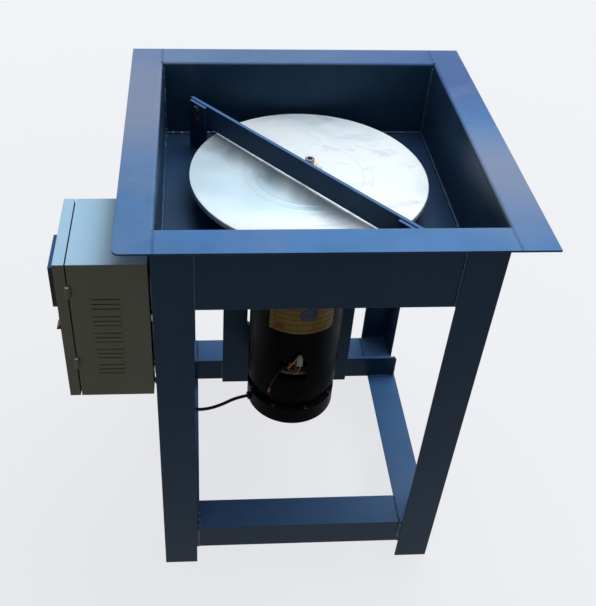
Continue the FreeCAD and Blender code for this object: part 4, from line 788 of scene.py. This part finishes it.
def make_leg_welds(rng):
    """Beads along the legs' edges, on the tray and on the rails."""
    mesh = bmesh.new()

    def upright(x, y):
        weld(mesh, (x, y, APRON), (x, y, RIM_TOP - RIM_CLEAR), 0.0024, rng)
        weld(mesh, (x, y, RAIL_LOW), (x, y, RAIL_TOP), 0.0024, rng)

    for sx, sy in CORNERS:
        x, y = MIDDLE_X + sx * TOE, sy * (WALL_OUT - 0.001)
        upright(x, sy * (WALL_OUT + PROUD))
        weld(mesh, (x, y, APRON), (MIDDLE_X + sx * WALL_OUT, y, APRON), 0.0028, rng)
        upright(MIDDLE_X + sx * (WALL_OUT + PROUD), sy * TOE)
    add_welds("leg_welds", mesh)


def make_rail_welds(rng):
    """Beads where the rails, the legs and the crossbar meet."""
    mesh = bmesh.new()

    def level(start, end, radius, height=RAIL_TOP):
        weld(mesh, (*start, height), (*end, height), radius, rng)

    for sx in SIGNS:
        x = MIDDLE_X + sx * RAIL_EDGE
        gap = MIDDLE_X + sx * (RAIL_EDGE + ANGLE_THICK / 2)
        for sy in SIGNS:
            level((x, sy * RAIL_EDGE), (x, sy * WALL_OUT), 0.0022, RAIL_TOP - 0.0005)
            weld(mesh, (gap, sy * WALL_OUT, RAIL_LOW + 0.001), (gap, sy * WALL_OUT, RAIL_TOP),
                 0.0036, rng)
        side = MIDDLE_X + sx * WALL_OUT
        for sy in SIGNS:
            level((MIDDLE_X + sx * TOE, sy * WALL_OUT), (side, sy * WALL_OUT), 0.0026)
            level((side, sy * TOE), (side, sy * WALL_OUT), 0.0026)
    low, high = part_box("motor_crossbar")
    for x, inward in ((low.x, 1), (high.x, -1)):
        lip = MIDDLE_X - inward * RAIL_EDGE
        level((x, low.y), (x, high.y), BEAD)
        weld(mesh, (x, low.y, RAIL_TOP), (x, low.y, high.z), BEAD, rng)
        level((x, low.y), (lip, low.y), BEAD)
        level((x, high.y), (lip, high.y), BEAD)
    add_welds("rail_welds", mesh)


def make_plate_welds(rng):
    """Beads round the motor plate's ends, under the tray and on the crossbar."""
    mesh = bmesh.new()
    low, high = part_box("motor_plate")
    bar_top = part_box("motor_crossbar")[1].z
    for x in (low.x, high.x):
        weld(mesh, (x, high.y, low.z + 0.004), (x, high.y, bar_top), BEAD, rng)
        weld(mesh, (x, low.y, high.z), (x, high.y, high.z), BEAD, rng)
    for y in (low.y, high.y):
        weld(mesh, (low.x, y, high.z), (high.x, y, high.z), BEAD, rng)
    weld(mesh, (low.x, high.y, bar_top), (high.x, high.y, bar_top), BEAD, rng)
    add_welds("plate_welds", mesh)


BAR_TURN = -49.7  # the fence bar's way across the tray, in degrees
POST_STARTS = (-0.258, 0.218)  # along the bar, from the wheel's axis
POST_FACES = (-0.041, -0.035)  # across the bar
POST_WIDE = 0.040


def make_post_welds(rng):
    """Beads along both faces of the fence bar's posts, on the tray floor."""
    mesh = bmesh.new()
    angle = math.radians(BAR_TURN)
    along = Vector((math.cos(angle), math.sin(angle), 0))
    back = Vector((-along.y, along.x, 0))
    centre = Vector((AXIS.x, AXIS.y, FLOOR_TOP))
    for from_axis in POST_STARTS:
        for depth in POST_FACES:
            start = centre + along * from_axis + back * depth
            weld(mesh, start, start + along * POST_WIDE, 0.0026, rng)
    add_welds("post_welds", mesh)


def make_collar_weld(rng):
    """A round bead at the foot of the shaft's collar."""
    mesh = bmesh.new()
    low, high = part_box("shaft_collar")
    radius = (high.x - low.x) / 2
    steps = 44
    corners = [Vector((AXIS.x + radius * math.cos(math.tau * k / steps),
                       AXIS.y + radius * math.sin(math.tau * k / steps), FLOOR_TOP))
               for k in range(steps + 1)]
    for start, end in zip(corners, corners[1:]):
        weld(mesh, start, end, 0.0026, rng)
    add_welds("collar_weld", mesh)


def make_welds():
    """Every bead, in an order that keeps the random draws the same."""
    rng = random.Random(7)
    for make in (make_tray_welds, make_leg_welds, make_rail_welds, make_plate_welds,
                 make_post_welds, make_collar_weld):
        make(rng)


# ---------------------------------------------------------------- pieces of the motor

def on_motor(degrees, radius, height):
    """A point at an angle about the motor's axis, a distance from it and a height."""
    angle = math.radians(degrees)
    return (AXIS.x + radius * math.cos(angle), AXIS.y + radius * math.sin(angle), height)


# Each lead: name, radius, finish, slot and its points as (angle, distance, height).
LEADS = (
    ("brush_lead_orange", 0.0012, "orange_wire", "insulator",
     ((-91, 0.0945, 0.3705), (-93, 0.0968, 0.366), (-97, 0.0965, 0.352), (-101, 0.0945, 0.338),
      (-104, 0.088, 0.328), (-103, 0.072, 0.322))),
    ("brush_lead_grey", 0.0011, "grey_wire", "black_rubber",
     ((-89, 0.0955, 0.342), (-90, 0.0965, 0.333), (-93, 0.096, 0.324), (-96, 0.092, 0.317),
      (-97, 0.082, 0.314), (-96, 0.070, 0.314))),
    ("field_lead", 0.0013, "black_rubber", "black_rubber",
     ((-110, 0.070, 0.318), (-112, 0.083, 0.316), (-115, 0.0925, 0.308), (-119, 0.0945, 0.292),
      (-122, 0.0935, 0.274), (-124, 0.0925, 0.258), (-125, 0.089, 0.246), (-125, 0.0815, 0.238),
      (-125, 0.0785, 0.229))),
    ("field_lead_sleeve", 0.0021, "red_wire", "black_rubber",
     ((-122.6, 0.0933, 0.268), (-123.5, 0.0928, 0.262), (-124.3, 0.0920, 0.254))),
)
# The connector's body and its latch: half width, far and near side, bottom, top, rounding.
CONNECTOR = ((0.0052, 0.0985, 0.0905, 0.345, 0.364, 0.0012),
             (0.0034, 0.0978, 0.0925, 0.3625, 0.3705, 0.0008))


def make_leads():
    """The leads that come out of the front brush window, with their connector."""
    block = bmesh.new()
    for half, far, near, bottom, top, edge in CONNECTOR:
        moulded_block(block, (AXIS.x - half, AXIS.y - far, bottom),
                      (AXIS.x + half, AXIS.y - near, top), edge)
    piece("lead_connector", block, "white_nylon")
    for name, radius, finish, slot, points in LEADS:
        wire(name, [on_motor(*point) for point in points], radius, finish)


PINHOLE = 0.0006
BADGE_TURN, BADGE_RISE = -83.4, 0.5  # its angle about the motor and its share of the label's height
BADGE_OUT, BADGE_RADIUS = 0.0884, 0.0157  # the label's outer face and the round's own radius
# The round's section, from the middle of its back to the middle of its face: the share of its
# radius, and how far it lies under the label's face.
BADGE_SECTION = ((PINHOLE / BADGE_RADIUS, 0.00036), (0.5, 0.00036), (1, 0.00036), (1, 0.0002),
                 (0.97, 0), (0.90, 0), (0.86, 0.00015), (PINHOLE / BADGE_RADIUS, 0.00015))


def make_badge():
    """The plain dark blue round that fills the label's round opening."""
    low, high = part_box("motor_label")
    centre = math.radians(BADGE_TURN)
    level = low.z + BADGE_RISE * (high.z - low.z)
    mesh = bmesh.new()
    rings = []
    for share, sunk in BADGE_SECTION:
        out, depth = share * BADGE_RADIUS, BADGE_OUT - sunk
        turns = [(centre + out * math.cos(angle) / BADGE_OUT, level + out * math.sin(angle))
                 for angle in circle(48)]
        rings.append([(AXIS.x + depth * math.cos(turn), AXIS.y + depth * math.sin(turn), height)
                      for turn, height in turns])
    skin(mesh, rings)
    piece("label_badge", mesh, "badge")


# ---------------------------------------------------------------- inside the control box

def make_board_parts():
    """The control board's components and the terminal block's screws."""
    low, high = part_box("control_board")
    face = low.x
    span, rise = high.y - low.y, high.z - low.z

    def spot(y, z):
        """A place on the board, as shares of its width and height."""
        return low.y + span * y, low.z + rise * z

    cans = bmesh.new()
    for y, z, radius, length in ((0.76, 0.78, 0.011, 0.030), (0.90, 0.46, 0.008, 0.021),
                                 (0.76, 0.46, 0.008, 0.021)):
        at = (face, *spot(y, z))
        turned_form(cans, at, (-1, 0, 0), [
            (0.0002, radius * 0.94), (0.0012, radius), (0.0026, radius), (0.0032, radius * 0.93),
            (0.0040, radius * 0.93), (0.0046, radius), (length - 0.001, radius),
            (length, radius * 0.93), (length - 0.0004, radius * 0.86), (length - 0.0004, 0.0005),
        ])
    piece("board_capacitors", cans, "blue_sleeve")

    relays = bmesh.new()
    for y, z in ((0.60, 0.12), (0.78, 0.12)):
        cy, cz = spot(y, z)
        moulded_block(relays, (face - 0.0155, cy - 0.0085, cz - 0.006),
                      (face, cy + 0.0085, cz + 0.009), 0.0007)
    piece("board_relays", relays, "relay_case")

    chips = bmesh.new()
    legs = bmesh.new()
    for y, z in ((0.60, 0.40), (0.60, 0.62), (0.60, 0.84)):
        cy, cz = spot(y, z)
        moulded_block(chips, (face - 0.0036, cy - 0.0045, cz - 0.0032),
                      (face - 0.0006, cy + 0.0045, cz + 0.0032), 0.0004)
        for k in range(4):
            for side in SIGNS:
                y_leg, z_leg = cy - 0.0036 + k * 0.0024, cz + side * 0.0041
                moulded_block(legs, (face - 0.0016, y_leg - 0.0003, z_leg - 0.0011),
                              (face + 0.0002, y_leg + 0.0003, z_leg + 0.0011), 0.0001)
    piece("board_chips", chips, "black_plastic")
    piece("board_chip_legs", legs, "zinc_steel")

    ohms = bmesh.new()
    profile = [(0, 0.0003), (0.0016, 0.0003), (0.0019, 0.001), (0.0026, 0.0013),
               (0.0034, 0.0011), (0.0046, 0.0011), (0.0054, 0.0013), (0.0061, 0.001),
               (0.0064, 0.0003), (0.008, 0.0003)]
    for k in range(6):
        cy, cz = spot(0.94, 0.66 + 0.05 * k)
        turned_form(ohms, (face - 0.0014, cy - 0.004, cz), (0, 1, 0), profile, 12)
    piece("board_resistors", ohms, "insulator")

    screws = bmesh.new()
    block_low, block_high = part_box("terminal_block")
    ways = 6
    pitch = (block_high.y - block_low.y) / ways
    level = (block_low.z + block_high.z) / 2
    head = [(0, 0.0024), (0.0012, 0.0024), (0.0018, 0.0019), (0.0018, 0.0006), (0.0011, 0.0005)]
    for k in range(ways):
        at = (block_low.x + 0.0052, block_low.y + (k + 0.5) * pitch, level)
        turned_form(screws, at, (-1, 0, 0), head, 16)
    piece("terminal_screws", screws, "zinc_steel")


# ---------------------------------------------------------------- floor and world

FLOOR_HALF = 40
GLOW_NEAR, GLOW_FAR = 0.3, 2.4  # where the floor starts to fade, and where it is the background
GLOW_SHARE = 0.84  # of the background's colour under the object


class Tree:
    """The node tree of the floor or the world."""

    def __init__(self, owner):
        owner.use_nodes = True
        self.nodes, self.links = owner.node_tree.nodes, owner.node_tree.links
        self.nodes.clear()

    def add(self, kind, inputs=(), **settings):
        """A new node: its inputs, by name or number, are sockets to link or plain values."""
        node = self.nodes.new(kind)
        for key, value in settings.items():
            setattr(node, key, value)
        for key, value in dict(inputs).items():
            if isinstance(value, bpy.types.NodeSocket):
                self.links.new(value, node.inputs[key])
            else:
                node.inputs[key].default_value = value
        return node

    def seen_rays(self):
        """1 for camera, glossy and transmission rays."""
        path = self.add("ShaderNodeLightPath").outputs
        first = self.add("ShaderNodeMath", {0: path["Is Camera Ray"], 1: path["Is Glossy Ray"]},
                         operation="MAXIMUM")
        second = self.add("ShaderNodeMath", {0: first.outputs[0], 1: path["Is Transmission Ray"]},
                          operation="MAXIMUM")
        return second.outputs[0]


def make_stage():
    """A pale floor that keeps the object's shadow and fades into the background further out."""
    mesh = bmesh.new()
    bmesh.ops.create_grid(mesh, x_segments=2, y_segments=2, size=FLOOR_HALF)
    data = bpy.data.meshes.new("floor")
    mesh.to_mesh(data)
    mesh.free()
    floor = bpy.data.objects.new("floor", data)
    bpy.context.scene.collection.objects.link(floor)
    material = bpy.data.materials.new("studio_floor")
    tree = Tree(material)
    seen = tree.seen_rays()
    shade = tree.add("ShaderNodeMix", data_type="RGBA")
    tree.links.new(seen, shade.inputs[0])
    shade.inputs[6].default_value = (0.14, 0.14, 0.145, 1)
    shade.inputs[7].default_value = (0.95, 0.955, 0.97, 1)
    lit = tree.add("ShaderNodeBsdfDiffuse", {"Color": shade.outputs[2]})
    glow = tree.add("ShaderNodeEmission", {"Color": PALE})
    place = tree.add("ShaderNodeTexCoord").outputs["Object"]
    away = tree.add("ShaderNodeVectorMath", {0: place}, operation="LENGTH").outputs["Value"]
    fade = tree.add("ShaderNodeMapRange", {
        "Value": away, "From Min": GLOW_NEAR, "From Max": GLOW_FAR, "To Min": GLOW_SHARE,
        "To Max": 1.0,
    }, interpolation_type="SMOOTHSTEP")
    part = tree.add("ShaderNodeMath", {0: seen, 1: fade.outputs["Result"]}, operation="MULTIPLY")
    mixed = tree.add("ShaderNodeMixShader",
                     {0: part.outputs[0], 1: lit.outputs[0], 2: glow.outputs[0]})
    tree.add("ShaderNodeOutputMaterial", {"Surface": mixed.outputs[0]})
    data.materials.append(material)


def make_world():
    """A weak soft sky that lights, behind a pale background that only shows."""
    world = bpy.data.worlds.new("studio")
    bpy.context.scene.world = world
    tree = Tree(world)
    soft = tree.add("ShaderNodeBackground", {"Color": (0.93, 0.96, 1.0, 1), "Strength": 0.16})
    pale = tree.add("ShaderNodeBackground", {"Color": PALE, "Strength": 1.0})
    mixed = tree.add("ShaderNodeMixShader",
                     {0: tree.seen_rays(), 1: soft.outputs[0], 2: pale.outputs[0]})
    tree.add("ShaderNodeOutputWorld", {"Surface": mixed.outputs[0]})


make_camera()
make_finishes()
make_cable()
dress_nodes()
make_welds()
make_leads()
make_badge()
make_board_parts()
make_stage()
make_world()
make_lights()
bpy.context.scene.view_settings.view_transform = "Standard"
